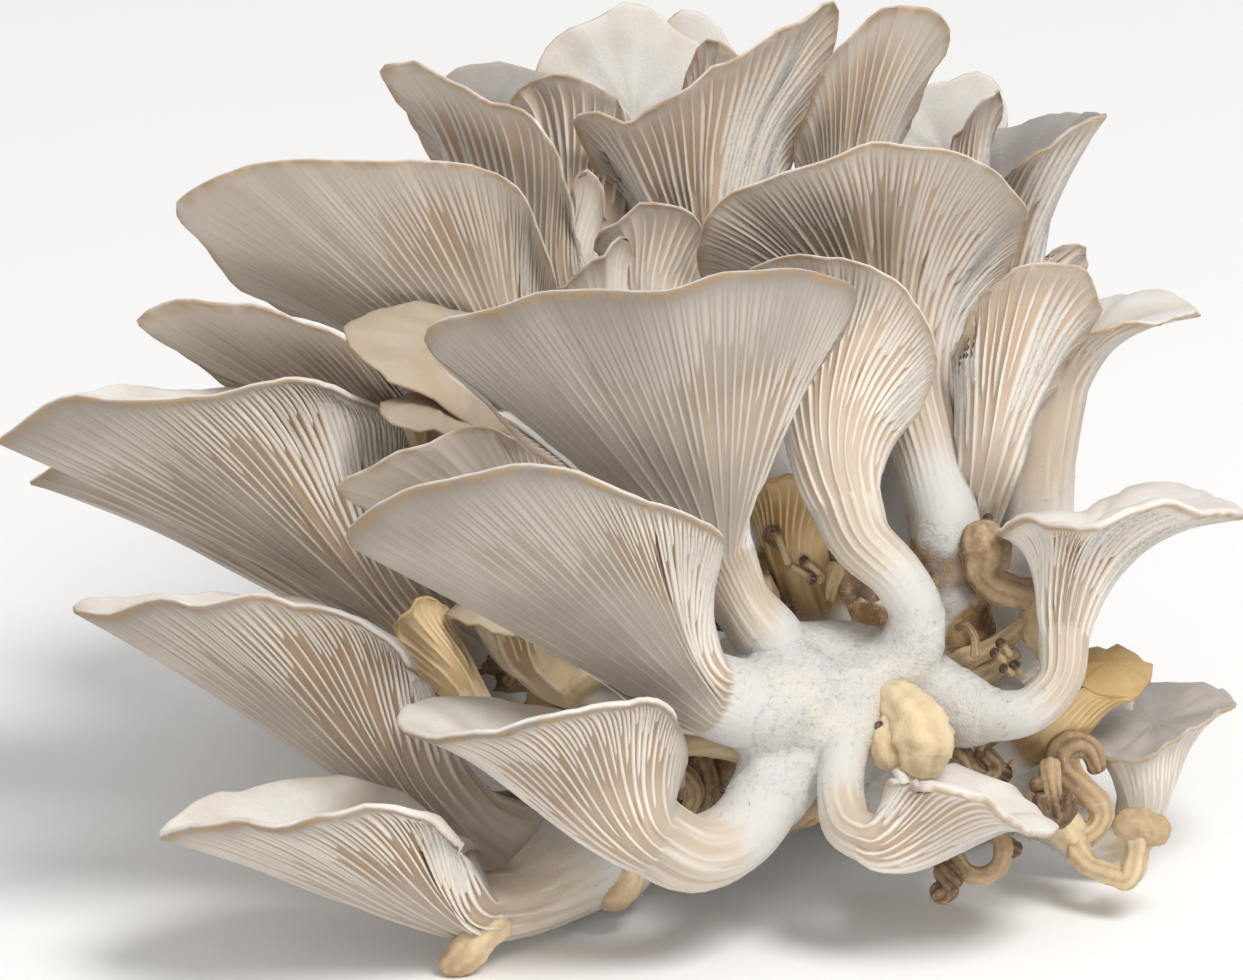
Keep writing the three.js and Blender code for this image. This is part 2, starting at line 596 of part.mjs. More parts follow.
// A closed skin over rings of equal count, drawn to a point at each end
function skin(startPole, rings, endPole) {
  const sides = rings[0].length;
  const points = [startPole, ...rings.flat(), endPole];
  const last = points.length - 1;
  const index = [];
  const at = (ring, i) => 1 + ring * sides + (i % sides);
  for (let i = 0; i < sides; i += 1) {
    index.push(0, at(0, i + 1), at(0, i));
    for (let ring = 0; ring < rings.length - 1; ring += 1) {
      index.push(at(ring, i), at(ring, i + 1), at(ring + 1, i + 1));
      index.push(at(ring, i), at(ring + 1, i + 1), at(ring + 1, i));
    }
    index.push(at(rings.length - 1, i), at(rings.length - 1, i + 1), last);
  }
  const geometry = new THREE.BufferGeometry().setFromPoints(points);
  geometry.setIndex(index);
  return geometry;
}

// A swelling limb with rounded ends
function limb(line, sides) {
  const { curve, radius } = centreLine(line);
  const steps = line.length;
  const start = curve.getTangent(1);
  const across = new THREE.Vector3(0, 0, 1).cross(start);
  if (across.length() < 0.3) across.set(1, 0, 0).cross(start);
  const firsts = carriedBack(curve, steps, across.normalize());
  const rings = [];
  const ringAt = (t, along, scale) => {
    const tangent = curve.getTangent(t);
    const first = firsts[Math.round(t * steps)];
    const second = tangent.clone().cross(first);
    const centre = curve.getPoint(t).addScaledVector(tangent, along * radius(t));
    rings.push(circle(centre, first, second, radius(t) * scale, sides));
  };
  ringAt(0, -0.5, 0.75);
  for (let i = 0; i <= steps; i += 1) ringAt(i / steps, 0, 1);
  ringAt(1, 0.5, 0.75);
  const startPole = curve.getPoint(0).addScaledVector(curve.getTangent(0), -0.75 * radius(0));
  const endPole = curve.getPoint(1).addScaledVector(start, 0.75 * radius(1));
  return skin(startPole, rings, endPole);
}

function bezier(points, t) {
  const s = 1 - t;
  return new THREE.Vector3()
    .addScaledVector(points[0], s * s * s)
    .addScaledVector(points[1], 3 * s * s * t)
    .addScaledVector(points[2], 3 * s * t * t)
    .addScaledVector(points[3], t * t * t);
}

// The direction square to a closed line of points
function loopNormal(points, middle) {
  const normal = new THREE.Vector3();
  points.forEach((point, i) => {
    const next = points[(i + 1) % points.length];
    normal.add(point.clone().sub(middle).cross(next.clone().sub(middle)));
  });
  return normal.normalize();
}

// Places round a rim at which the flow lines end, with the angle round the neck at which
// each begins.  The margin that runs close to the neck takes the larger share of angle.
function flowEnds(rimCurve, neck) {
  const samples = rimCurve.getSpacedPoints(RIM_SAMPLES);
  const angles = [0];
  for (let i = 1; i <= RIM_SAMPLES; i += 1) {
    const middle = samples[i].clone().lerp(samples[i - 1], 0.5);
    const step = samples[i].distanceTo(samples[i - 1]) / middle.distanceTo(neck);
    angles.push(angles[i - 1] + step);
  }
  const whole = angles[RIM_SAMPLES];
  const ends = [];
  for (let i = 0; i < RIM_SAMPLES; i += 1) {
    const share = 0.5 * (i / RIM_SAMPLES + angles[i] / whole);
    if (share * SIDES >= ends.length) {
      const next = samples[i + 1];
      const previous = samples[(i + RIM_SAMPLES - 1) % RIM_SAMPLES];
      ends.push({
        point: samples[i],
        run: next.clone().sub(previous),
        angle: (2 * Math.PI * angles[i]) / whole,
      });
    }
  }
  samples.pop();
  return { ends, samples };
}

// One fruit body: a stem that opens into a funnel or fan.  Flow lines leave the neck along
// the stem and reach the margin facing outwards.  The flesh is a shell inside them, or
// where the cap is filled, everything up to a shallow dish or dome across the rim.
function fruitBody({ stem, rim, droop, tongue = 0, dome = null }) {
  const { curve, radius } = centreLine(stem);
  const neck = curve.getPoint(1);
  const along = curve.getTangent(1);
  const neckRadius = radius(1);
  const rimCurve = new THREE.CatmullRomCurve3(rim.map(vector), true, "centripetal");
  const { ends, samples } = flowEnds(rimCurve, neck);
  const middle = samples.reduce((sum, point) => sum.add(point), new THREE.Vector3())
    .divideScalar(samples.length);

  // The spokes of the neck start at the back of the fan and go round as the rim does
  const back = vector(rim[0]).sub(neck);
  const first = back.addScaledVector(along, -back.dot(along)).normalize();
  const quarter = samples[RIM_SAMPLES / 4].clone().sub(samples[(3 * RIM_SAMPLES) / 4]);
  const facing = along.clone().cross(first).dot(quarter) > 0 ? 1 : -1;
  const second = along.clone().cross(first).multiplyScalar(facing);
  const upper = loopNormal(samples, middle).multiplyScalar(facing);

  const reach = Math.max(...samples.map((point) => point.distanceTo(neck)));
  const lines = [];
  ends.forEach(({ point: end, run, angle }) => {
    const spoke = first.clone().multiplyScalar(Math.cos(angle))
      .addScaledVector(second, Math.sin(angle));
    const start = neck.clone().addScaledVector(spoke, neckRadius);
    const square = run.clone().cross(upper).normalize();
    if (square.dot(end.clone().sub(middle)) < 0) square.negate();
    const away = end.clone().sub(neck).normalize();
    away.addScaledVector(upper, -RIM_FLATTEN * away.dot(upper)).normalize();
    const length = end.distanceTo(start);
    // A long line follows the stem and then the cap, and a short one runs straight
    const long = THREE.MathUtils.smoothstep(length / neckRadius, 1, 4);
    const straight = end.clone().sub(start).normalize();
    const turn = long * THREE.MathUtils.clamp(0.6 + straight.dot(along), 0, 1);
    const launch = straight.clone()
      .lerp(along.clone().addScaledVector(spoke, NECK_SPREAD).normalize(), turn);
    const leave = away.lerp(square, SQUARE_SHARE).addScaledVector(upper, -droop)
      .normalize().lerp(straight, 1 - long);
    const share = end.distanceTo(neck) / reach;
    const stiff = tongue * THREE.MathUtils.smoothstep(share, TONGUE_FROM, TONGUE_TO);
    launch.lerp(straight, stiff);
    leave.lerp(straight, stiff);
    lines.push([
      start,
      start.clone().addScaledVector(launch, NECK_REACH * length),
      end.clone().addScaledVector(leave, -RIM_REACH * length),
      end,
    ]);
  });

  const stemSteps = stem.length;
  const firsts = carriedBack(curve, stemSteps, first);
  const rings = [];
  for (let i = 0; i <= stemSteps; i += 1) {
    const t = i / stemSteps;
    const tangent = curve.getTangent(t);
    const side = tangent.clone().cross(firsts[i]).multiplyScalar(facing);
    rings.push(ends.map(({ angle }) => curve.getPoint(t)
      .addScaledVector(firsts[i], radius(t) * Math.cos(angle))
      .addScaledVector(side, radius(t) * Math.sin(angle))));
  }
  const ringAt = (t) => lines.map((line) => bezier(line, t));
  UNDERSIDE_STEPS.forEach((t) => rings.push(ringAt(t)));
  let pole;
  if (dome === null) {
    TOPSIDE_STEPS.forEach((t) => {
      const here = ringAt(t);
      const before = ringAt(t - 0.02);
      const thickness = THREE.MathUtils.lerp(NECK_FLESH * neckRadius, RIM_EDGE, t ** 0.7);
      rings.push(here.map((point, i) => {
        const around = here[(i + 1) % SIDES].clone().sub(here[(i + SIDES - 1) % SIDES]);
        const inside = point.clone().sub(before[i]).cross(around).normalize()
          .multiplyScalar(facing);
        return point.clone().addScaledVector(inside, thickness);
      }));
    });
    pole = neck.clone().addScaledVector(along, WELL_HEIGHT * neckRadius);
  } else {
    pole = middle.clone().addScaledVector(upper, dome + RIM_EDGE);
    DOME_STEPS.forEach((share) => {
      const height = RIM_EDGE + dome * (1 - share * share);
      rings.push(ringAt(1).map((point) => middle.clone().lerp(point, share)
        .addScaledVector(upper, height)));
    });
  }
  const geometry = skin(curve.getPoint(0), rings, pole);
  if (facing < 0) flip(geometry);
  return geometry;
}

function flip(geometry) {
  const index = geometry.index.array;
  for (let i = 0; i < index.length; i += 3) {
    const kept = index[i];
    index[i] = index[i + 1];
    index[i + 1] = kept;
  }
}

// The rim of an even fan, from its width, its length and the way it spreads
function evenRim({ stem, outward, upward, length, width }) {
  const out = vector(outward).normalize();
  const up = vector(upward);
  up.addScaledVector(out, -up.dot(out)).normalize();
  const across = out.clone().cross(up);
  const neck = vector(stem[stem.length - 1]);
  const rim = [];
  for (let i = 0; i < BACK_FAN_POINTS; i += 1) {
    const angle = (2 * Math.PI * i) / BACK_FAN_POINTS;
    const wave = 1 + 0.07 * Math.sin(3 * angle + length);
    const point = neck.clone()
      .addScaledVector(out, length * (0.42 - 0.55 * Math.cos(angle) * wave))
      .addScaledVector(across, 0.5 * width * Math.sin(angle) * wave)
      .addScaledVector(up, 12 + 5 * Math.cos(2 * angle));
    rim.push(point.toArray());
  }
  return rim;
}

function solidOf(geometry) {
  const bare = geometry.clone();
  bare.deleteAttribute("normal");
  bare.deleteAttribute("uv");
  const merged = mergeVertices(bare, 1e-4);
  return new wasm.Manifold(new wasm.Mesh({
    numProp: 3,
    vertProperties: new Float32Array(merged.attributes.position.array),
    triVerts: new Uint32Array(merged.index.array),
  }));
}

function geometryOf(solid) {
  const mesh = solid.getMesh();
  const geometry = new THREE.BufferGeometry();
  const positions = new Float32Array(mesh.vertProperties);
  geometry.setAttribute("position", new THREE.BufferAttribute(positions, mesh.numProp));
  geometry.setIndex(new THREE.BufferAttribute(new Uint32Array(mesh.triVerts), 1));
  return geometry;
}

// The same solid, moved outwards by the clearance all over
function grown(solid, distance) {
  const geometry = geometryOf(solid);
  geometry.computeVertexNormals();
  const { position, normal } = geometry.attributes;
  for (let i = 0; i < position.count; i += 1) {
    position.setXYZ(
      i,
      position.getX(i) + distance * normal.getX(i),
      position.getY(i) + distance * normal.getY(i),
      position.getZ(i) + distance * normal.getZ(i),
    );
  }
  return solidOf(geometry);
}

function largestBody(solid) {
  const bodies = solid.decompose();
  bodies.sort((a, b) => b.volume() - a.volume());
  return bodies[0];
}

function boxesMeet(a, b) {
  return [0, 1, 2].every((i) => a.min[i] <= b.max[i] && b.min[i] <= a.max[i]);
}

// Everything below the break, as a block in the growth frame
function groundBlock() {
  const size = 600;
  const geometry = new THREE.BoxGeometry(size, size, size);
  geometry.translate(0, 0, BUTT_HEIGHT - size / 2);
  geometry.rotateX(LEAN);
  return solidOf(geometry);
}

function joined(lines, sides) {
  return lines.map((line) => solidOf(limb(line, sides))).reduce((whole, part) => whole.add(part));
}

function fleshFor(name) {
  if (GREY_NAMES.includes(name)) return FLESH.grey;
  if (BEIGE_NAMES.includes(name)) return FLESH.beige;
  return FLESH.white;
}

const ground = groundBlock();
const base = joined(BASE_LIMBS, BASE_SIDES).subtract(ground);
const pieces = [{ name: "mycelium_base", solid: base, flesh: FLESH.wool }];
FRUIT_BODIES.forEach((body) => {
  pieces.push({ name: body.name, solid: solidOf(fruitBody(body)), flesh: fleshFor(body.name) });
});
BACK_FANS.forEach((fan) => {
  const body = { ...fan, rim: evenRim(fan), droop: 0.25 };
  pieces.push({ name: fan.name, solid: solidOf(fruitBody(body)), flesh: FLESH.white });
});
PINS.forEach(({ name, lines }) => {
  pieces.push({ name, solid: joined(lines, PIN_SIDES), flesh: FLESH.brown });
});

const cluster = new THREE.Group();
cluster.rotation.x = -LEAN;
const row = new THREE.Group();
row.position.set(-CENTRE[0], -CENTRE[1], -BUTT_HEIGHT);
row.add(cluster);

// Each piece gives way to the ones before it, with the clearance between them
const placed = [];
pieces.forEach(({ name, solid, flesh }) => {
  let shape = placed.length ? solid.subtract(ground) : solid;
  placed.forEach((other) => {
    if (!boxesMeet(other.box, shape.boundingBox())) return;
    shape = shape.subtract(other.grown);
    // The grown solid can fall short of a sharp margin
    if (shape.intersect(other.solid).volume() > OVERLAP) shape = shape.subtract(other.solid);
  });
  const wide = grown(solid, GAP);
  placed.push({ solid, grown: wide, box: wide.boundingBox() });
  const mesh = new THREE.Mesh(
    geometryOf(largestBody(shape)),
    new THREE.MeshStandardMaterial(flesh),
  );
  mesh.name = name;
  cluster.add(mesh);
});

export default row;
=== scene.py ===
"""Looks of a cluster of oyster mushrooms: gilled caps, woolly base, dried pins and a studio.

Shapes are worked out in millimetres in the part's growth frame, which leans back by LEAN:
(across, depth, height), where a fourth number is a radius.  to_row() takes them to metres.
"""
import math

import bpy
import numpy as np
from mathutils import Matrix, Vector
from mathutils.bvhtree import BVHTree


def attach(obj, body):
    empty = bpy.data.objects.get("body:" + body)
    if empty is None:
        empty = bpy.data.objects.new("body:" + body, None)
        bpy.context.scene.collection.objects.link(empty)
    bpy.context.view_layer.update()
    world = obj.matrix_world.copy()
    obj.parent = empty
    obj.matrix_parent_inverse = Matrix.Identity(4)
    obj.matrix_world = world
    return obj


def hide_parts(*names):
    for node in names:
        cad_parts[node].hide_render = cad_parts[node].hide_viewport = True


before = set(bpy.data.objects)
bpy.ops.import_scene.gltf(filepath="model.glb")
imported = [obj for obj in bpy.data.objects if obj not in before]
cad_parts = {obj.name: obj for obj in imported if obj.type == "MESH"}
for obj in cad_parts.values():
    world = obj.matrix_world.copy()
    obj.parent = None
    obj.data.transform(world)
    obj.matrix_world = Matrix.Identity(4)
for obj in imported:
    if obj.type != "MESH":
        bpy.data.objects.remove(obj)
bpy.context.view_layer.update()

# ---------------------------------------------------------------- sizes, mm

LEAN = math.radians(20)           # lean of the growth frame
BUTT_HEIGHT = 11.2                # height of the break above the growth frame's origin
CENTRE = (0.4, 57.1)              # middle of the whole, across and deep
MM = 0.001

# ---------------------------------------------------------------- shapes, mm, growth frame

# Each fruit body: how it looks, the points and radii of its stem, and the points of its rim
FRUIT_BODIES = {
    "centre_fan": dict(look="shaded_cream", fine=True, lip=1.3, droop=0.35, tongue=1,
        stem=[(34, -6, 58, 8), (30, -12, 68, 7), (24, -18, 76, 6), (19, -22, 86, 7)],
        rim=[(18, -10, 96), (6, -22, 98), (-12, -37, 103), (-28, -45, 116.5), (-39, -48, 128),
             (-30, -56, 132), (-15, -62, 136), (4, -64, 137), (24, -60, 140), (37, -52, 141),
             (47, -40, 136), (40, -32, 123), (32, -24, 111), (26, -16, 100)]),
    "front_left_fan": dict(look="shaded_cream", fine=True, lip=1.8, woolly=0.85, droop=0.1, tongue=0.95,
        stem=[(36, -14, 56, 10), (26, -22, 55, 9), (16, -30, 58, 8.5)],
        rim=[(14, -12, 66), (-3, -28, 69), (-24, -38, 79), (-40, -47, 82.5), (-54, -56, 87), (-49, -66, 93),
             (-38, -74, 98), (-25, -79, 101), (-12, -81, 101), (0, -78, 97), (10, -72, 93), (16, -66, 91),
             (21, -58, 87), (18, -44, 80), (16, -28, 73)]),
    "low_mid_fan": dict(look="shaded_cream", fine=True, lip=1.8, woolly=0.45, droop=0.4, tongue=0.5,
        stem=[(36, -8, 49, 8), (30, -18, 38, 7.5), (23, -28, 29, 7.5), (14, -36, 26, 8), (6, -40, 30, 8.5)],
        rim=[(10, -26, 38), (-2, -18, 47), (-16, -18, 53), (-30, -24, 55), (-39, -34, 55), (-44, -46, 51),
             (-36, -60, 48), (-27, -67, 49), (-16, -71, 51), (-6, -70, 54), (3, -65, 55), (10, -57, 53),
             (13, -48, 47), (13, -38, 41)]),
    "bottom_left_fan": dict(look="shaded_cream", fine=True, lip=1.8, woolly=0.2, droop=0.35, tongue=0.8,
        stem=[(-4, 0, 27, 12), (-12, -10, 21, 9.5), (-21, -20, 16, 7.5), (-29, -26, 15, 7.5)],
        rim=[(-29, -20, 26), (-38, -20, 32), (-47, -20, 37), (-58, -20, 39), (-72, -26, 38), (-83, -34, 35),
             (-91, -48, 29), (-79, -62, 31), (-67, -70, 30), (-59, -72, 33), (-51, -71, 34), (-43, -66, 33),
             (-37, -58, 31), (-33, -46, 27), (-29, -34, 25)]),
    "left_low_fan": dict(look="shaded_cream", fine=True, lip=1.5, woolly=0.3, droop=0.3, tongue=0.85,
        stem=[(-6, 12, 26, 12), (-20, 6, 26, 10), (-30, 0, 31, 8.5), (-38, -5, 39, 9)],
        rim=[(-37, 6, 56), (-49, 6, 67), (-64, 0, 75), (-78, -8, 76), (-91, -14, 76), (-102, -22, 76),
             (-109, -32, 74), (-101, -40, 72), (-93, -46, 75), (-83, -48, 75), (-73, -48, 76),
             (-64, -47, 74), (-54, -43, 72), (-46, -36, 67), (-41, -28, 62), (-38, -14, 58)]),
    "left_fan": dict(look="shaded_cream", fine=True, lip=1.5, droop=0.25, tongue=0.9,
        stem=[(0, 14, 52, 9), (-20, 14, 58, 8), (-36, 12, 68, 8), (-45, 8, 78, 8.5)],
        rim=[(-42, 22, 92), (-48, 20, 104), (-64, 12, 116), (-86, 2, 117), (-102, -6, 118),
             (-114, -16, 114), (-123.5, -30, 107), (-119, -38, 111), (-112, -42, 115), (-102, -44, 115),
             (-92, -44, 115), (-82, -42, 116), (-73, -37, 118), (-65, -31, 120), (-56, -20, 116),
             (-50, -12, 114), (-42, -4, 110), (-39, 8, 96)]),
    "right_low_cap": dict(fine=True, lip=1.8, woolly=0.45, droop=0.25,
        stem=[(62, 0, 55, 9), (73, -8, 53, 5.4), (82, -12, 54, 4.6), (88, -12, 60, 4.2),
              (89, -10, 70, 4.6)],
        rim=[(93, 18, 92), (85, 12, 92), (78, 2, 90), (76, -8, 89), (82, -18, 91), (88, -26, 90),
             (95, -31, 90), (102, -31, 93), (108, -28, 94), (114, -22, 93), (119, -14, 93), (124, 0, 92),
             (120, 14, 95), (114, 24, 97), (105, 28, 97), (98, 24, 95)]),
    "centre_right_funnel": dict(fine=True, woolly=0.5, droop=0.45,
        stem=[(52, -4, 60, 8), (58, -8, 66, 6), (59, -12, 74, 5.5), (55, -15, 81, 5.5), (48, -15, 88, 6),
              (45, -13, 96, 7)],
        rim=[(46, 4, 102), (34, 0, 108), (26, -4, 120), (23, -8, 134), (26, -14, 141), (33, -20, 144),
             (42, -24, 144), (50, -25, 142), (56, -24, 138), (61, -20, 131), (63, -14, 124), (61, -8, 116),
             (57, -2, 110), (52, 3, 104)]),
    "right_large_fan": dict(fine=True, woolly=0.6, droop=0.2,
        stem=[(66, 18, 64, 9), (66, 12, 76, 7.5), (65, 10, 92, 7), (62, 12, 105, 7), (59, 16, 115, 8)],
        rim=[(63, 34, 119), (46, 34, 125), (28, 26, 132), (18, 12, 139), (16, 0, 145), (17, -7, 151),
             (22, -11, 156), (30, -14, 160), (42, -17, 164), (52, -18, 166), (62, -15, 166), (70, -9, 164),
             (76, -1, 160), (81, 8, 154), (80, 16, 146), (74, 22, 136), (68, 26, 127)]),
    "upper_left_large_fan": dict(fine=True, droop=0.2, tongue=0.8,
        stem=[(16, 30, 76, 9), (0, 32, 96, 8), (-14, 28, 114, 8)],
        rim=[(-16, 38, 126), (-38, 34, 126), (-64, 26, 132), (-76, 20, 139), (-83, 13, 146), (-89, 6, 154),
             (-86, 0, 157), (-78, -6, 161), (-66, -10, 164), (-54, -13, 163), (-42, -14, 163),
             (-32, -13, 163), (-25, -9, 161), (-19, -3, 156), (-16, 4, 148), (-13, 12, 138),
             (-12, 24, 128)]),
    "upper_centre_fan": dict(droop=0.2,
        stem=[(40, 24, 68, 9), (32, 30, 104, 8), (21, 28, 136, 8)],
        rim=[(20, 44, 142), (8, 38, 147), (-2, 30, 156), (-6, 24, 164), (-9, 18, 172), (-4, 12, 173),
             (1, 10, 171), (7, 6, 174), (13, 3, 178), (18, 2, 182), (24, 2, 184), (30, 4, 188),
             (37, 8, 192), (43, 14, 195.5), (43, 20, 188), (40, 26, 178), (36, 30, 168), (32, 36, 156)]),
    "upper_right_leaf": dict(depth=1.1, droop=0.15,
        stem=[(50, 34, 68, 8), (50, 42, 104, 7), (47, 38, 142, 7)],
        rim=[(49, 52, 148), (39, 40, 156), (35, 30, 164), (37, 22, 172), (41, 14, 182), (48, 8, 190),
             (54, 5, 194), (60, 5, 194.5), (64, 9, 193), (66, 15, 188), (62, 22, 180), (59, 28, 173),
             (55, 34, 165), (52, 44, 154)]),
    "upper_mid_left_fan": dict(droop=0.15,
        stem=[(24, 28, 84, 9), (8, 31, 110, 8), (-7, 27, 131, 7.5)],
        rim=[(-9, 36, 142), (-26, 38, 152), (-37, 32, 162), (-43, 23, 174), (-48, 13, 182), (-42, 8, 183),
             (-36, 4, 180), (-28, 0, 177), (-20, -2, 173), (-15, -1, 168), (-12, 3, 162), (-10, 9, 154),
             (-8, 18, 145)]),
    "right_fan": dict(droop=0.3,
        stem=[(66, 34, 68, 7), (68, 28, 80, 6), (71, 20, 92, 5.5), (73, 12, 102, 6.5)],
        rim=[(76, 20, 106), (70, 16, 112), (67, 10, 120), (67, 4, 126), (70, -2, 132), (74, -6, 138),
             (80, -9, 142), (86, -9, 143), (92, -6, 142), (95, 0, 138), (96, 7, 134), (93, 14, 128),
             (88, 18, 120), (82, 20, 112)]),
    "bottom_right_cap": dict(lip=1.8, droop=0.5,
        stem=[(46, -10, 58, 7), (45, -18, 48, 4.8), (44, -26, 38, 4.6), (46, -31, 31, 4.8),
              (50, -33, 29, 5)],
        rim=[(54, -24, 40), (57, -10, 42), (64, -4, 41), (73, -6, 39), (80, -10, 35), (86, -22, 29),
             (80, -38, 30), (72, -48, 35), (64, -50, 38), (57, -44, 39), (53, -35, 39)]),
    "right_bottom_cap": dict(look="grey", depth=0.8, droop=0.1, dome=-1.5,
        stem=[(76, 24, 40, 7), (87, 22, 33, 6), (97, 20, 27, 5), (103, 17, 29, 4.6), (104.5, 15, 35, 5)],
        rim=[(97, 36, 57), (93, 28, 53.5), (94, 14, 48), (97, 7, 44), (101, 4, 42.8), (106, 3, 44.4),
             (113, 6, 49), (119, 12, 52), (123, 22, 55), (120.4, 32, 57.4), (113, 40, 58.8),
             (105, 40, 58.8)]),
    "mid_left_small_fan": dict(depth=1.1, droop=0.25, tongue=0.7,
        stem=[(20, 0, 58, 7), (4, -2, 70, 6.5), (-11, -8, 85, 6.5)],
        rim=[(-12, 6, 90), (-28, -4, 91), (-44, -16, 94), (-52, -24, 95), (-56, -30, 98), (-50, -35, 102),
             (-44, -38, 105), (-36, -38, 108), (-28, -34, 110), (-20, -25, 108), (-12, -14, 103),
             (-6, -6, 96)]),
    "small_beige_cap": dict(look="buff", droop=0.6, dome=3,
        stem=[(-4, 10, 76, 6), (-20, 6, 92, 5), (-34, -8, 106, 5)],
        rim=[(-26, -12, 109), (-30, -22, 109), (-36, -28, 109), (-42, -30, 110), (-46, -28, 112),
             (-48, -22, 114), (-44, -14, 116), (-36, -8, 116), (-28, -6, 112)]),
    "beige_cap": dict(look="buff", droop=0.5, dome=6,
        stem=[(8, 20, 76, 8), (-8, 22, 96, 7), (-24, 18, 114, 7)],
        rim=[(-16, 4, 108), (-24, -12, 109), (-30, -20, 111), (-38, -25, 116), (-44, -25, 119),
             (-50, -22, 123), (-55, -12, 130), (-50, -6, 133), (-42, 0, 135), (-32, 6, 133), (-20, 14, 130),
             (-10, 14, 122), (-10, 8, 112)]),
    "upper_left_small_fan": dict(droop=0.15, tongue=0.8,
        stem=[(-4, 30, 68, 8), (-18, 29, 86, 7), (-31, 23, 100, 7)],
        rim=[(-32, 36, 112), (-46, 28, 112), (-64, 18, 114), (-78, 10, 119), (-90, 2, 126), (-96, -6, 132),
             (-91, -10, 135), (-81, -14, 135), (-72, -16, 134), (-64, -17, 131), (-56, -16, 129),
             (-49, -12, 125), (-43, -4, 119), (-34, 10, 116)]),
    "left_back_fan": dict(look="shaded_cream", droop=0.2, tongue=0.6,
        stem=[(-12, 34, 56, 8), (-26, 35, 62, 7.5), (-38, 33, 70, 7)],
        rim=[(-34, 36, 82), (-50, 44, 94), (-70, 46, 102), (-92, 42, 106), (-108, 32, 105), (-118, 20, 99),
             (-112, 10, 102), (-95, 6, 104), (-75, 10, 104), (-55, 16, 98), (-44, 22, 88)]),
    "small_leaning_fan": dict(depth=0.8, droop=0.2,
        stem=[(32, 14, 80, 6), (16, 12, 104, 5.5), (1, 10, 126, 6)],
        rim=[(0, 20, 131), (-8, 12, 133), (-14, 4, 136), (-10, 0, 139), (-6, -3, 143), (-2, -3, 146),
             (1, 0, 148), (2.5, 6, 144), (2, 12, 136)]),
    "small_orange_fan": dict(depth=0.9, droop=0.25,
        stem=[(36, 20, 84, 6), (24, 18, 108, 5.5), (10, 12, 130, 6)],
        rim=[(8, 24, 136), (0, 18, 140), (-4, 12, 145), (-5, 6, 147), (-3, 2, 150), (1, 0, 152),
             (5, -2, 155), (11, -2, 154), (15.5, 2, 152), (17, 8, 146), (17, 14, 138)]),
    "narrow_leaf": dict(depth=0.5, droop=0.1, dome=-1,
        stem=[(28, 26, 84, 5), (12, 26, 112, 4.5), (-6, 22, 138, 4.5)],
        rim=[(-6, 30, 142), (-10, 24, 145), (-11, 18, 151), (-10, 13, 157), (-7, 11, 162), (-4, 12, 158),
             (-3, 15, 152), (-3, 20, 147)]),
    "upper_small_fan": dict(droop=0.15,
        stem=[(24, 44, 92, 7), (10, 44, 120, 6), (-4, 34, 150, 6.5)],
        rim=[(-4, 46, 154), (-12, 42, 162), (-21, 38, 172), (-22, 34, 176), (-18, 30, 179), (-14, 27, 181),
             (-8, 24, 180), (-3, 23, 178), (1, 25, 172), (3, 32, 163)]),
    "upper_back_sliver": dict(droop=0.15,
        stem=[(34, 52, 88, 7), (24, 52, 120, 6), (16, 46, 148, 6)],
        rim=[(17, 58, 152), (13, 54, 164), (12, 48, 176), (14, 43, 183), (16, 40, 187), (20, 38, 188),
             (25, 38, 184), (30, 42, 176), (26, 50, 162)]),
    "right_upper_fan": dict(look="grey", droop=0.1,
        stem=[(62, 42, 68, 8), (70, 44, 92, 7), (74, 44, 116, 7), (76, 40, 132, 7)],
        rim=[(74, 52, 142), (71, 42, 149), (71, 30, 156), (77, 20, 161), (83, 14, 165), (90, 13, 169),
             (97, 22, 173), (94, 38, 173), (87, 50, 173), (79, 58, 171), (74, 62, 168), (74, 64, 157),
             (77, 60, 148)]),
    "right_back_cap": dict(droop=0.3,
        stem=[(78, 34, 68, 8), (83, 30, 84, 7.5), (84, 28, 104, 7), (86, 29, 119, 7.5)],
        rim=[(86, 42, 127), (89, 47, 131.5), (94, 50, 135), (102, 50, 137), (109, 46, 137),
             (114, 38, 135.4), (116, 28, 133), (113, 19, 132.6), (107, 13, 131.6), (100, 12, 130),
             (93, 14, 128.6), (87, 20, 126.4)]),
    "far_right_cap": dict(droop=0.3, dome=1,
        stem=[(74, 48, 68, 7), (79, 48, 88, 7), (80, 46, 108, 6.5), (83, 46, 126, 6.5)],
        rim=[(83, 56, 134), (82, 54, 142), (86, 52, 145), (89, 51, 147), (93, 52, 147), (94, 58, 144),
             (93, 68, 139), (89, 74, 133), (84, 68, 129)]),
    "top_right_leaf": dict(droop=0.1,
        stem=[(57, 56, 84, 6), (63, 56, 120, 5.5), (68, 50, 150, 5.5)],
        rim=[(69, 58, 154), (65, 52, 160), (66, 46, 166), (70, 42, 172), (73, 40, 176), (76, 42, 178),
             (77, 46, 175), (75, 52, 168), (73, 58, 160)]),
    "grey_back_cap": dict(look="grey", droop=0.1, dome=1,
        stem=[(28, 60, 84, 9), (4, 70, 118, 8), (-10, 72, 142, 8)],
        rim=[(-10, 60, 150), (-24, 60, 152), (-32, 60, 163), (-37, 60, 174), (-34, 59, 182), (-26, 57, 184),
             (-18, 55, 182), (-6, 52, 180), (2, 50, 172), (4, 52, 160)]),
    "top_back_cap": dict(droop=0.1, dome=1,
        stem=[(36, 66, 88, 9), (20, 76, 120, 8), (6, 80, 146, 8)],
        rim=[(6, 66, 152), (-12, 64, 160), (-18, 62, 174), (-15, 62, 186.5), (-9, 62, 191), (-4, 62, 193.5),
             (1, 62, 196), (6, 63, 194.5), (12, 63, 190), (18, 64, 185.5), (23, 66, 174), (20, 68, 160)]),
    "top_back_sliver": dict(droop=0.1, dome=1,
        stem=[(40, 76, 88, 8), (28, 88, 130, 7), (17, 92, 150, 7)],
        rim=[(17, 80, 154), (8, 80, 162), (6, 80, 176), (8, 79, 189), (11, 79, 194), (16, 79, 194),
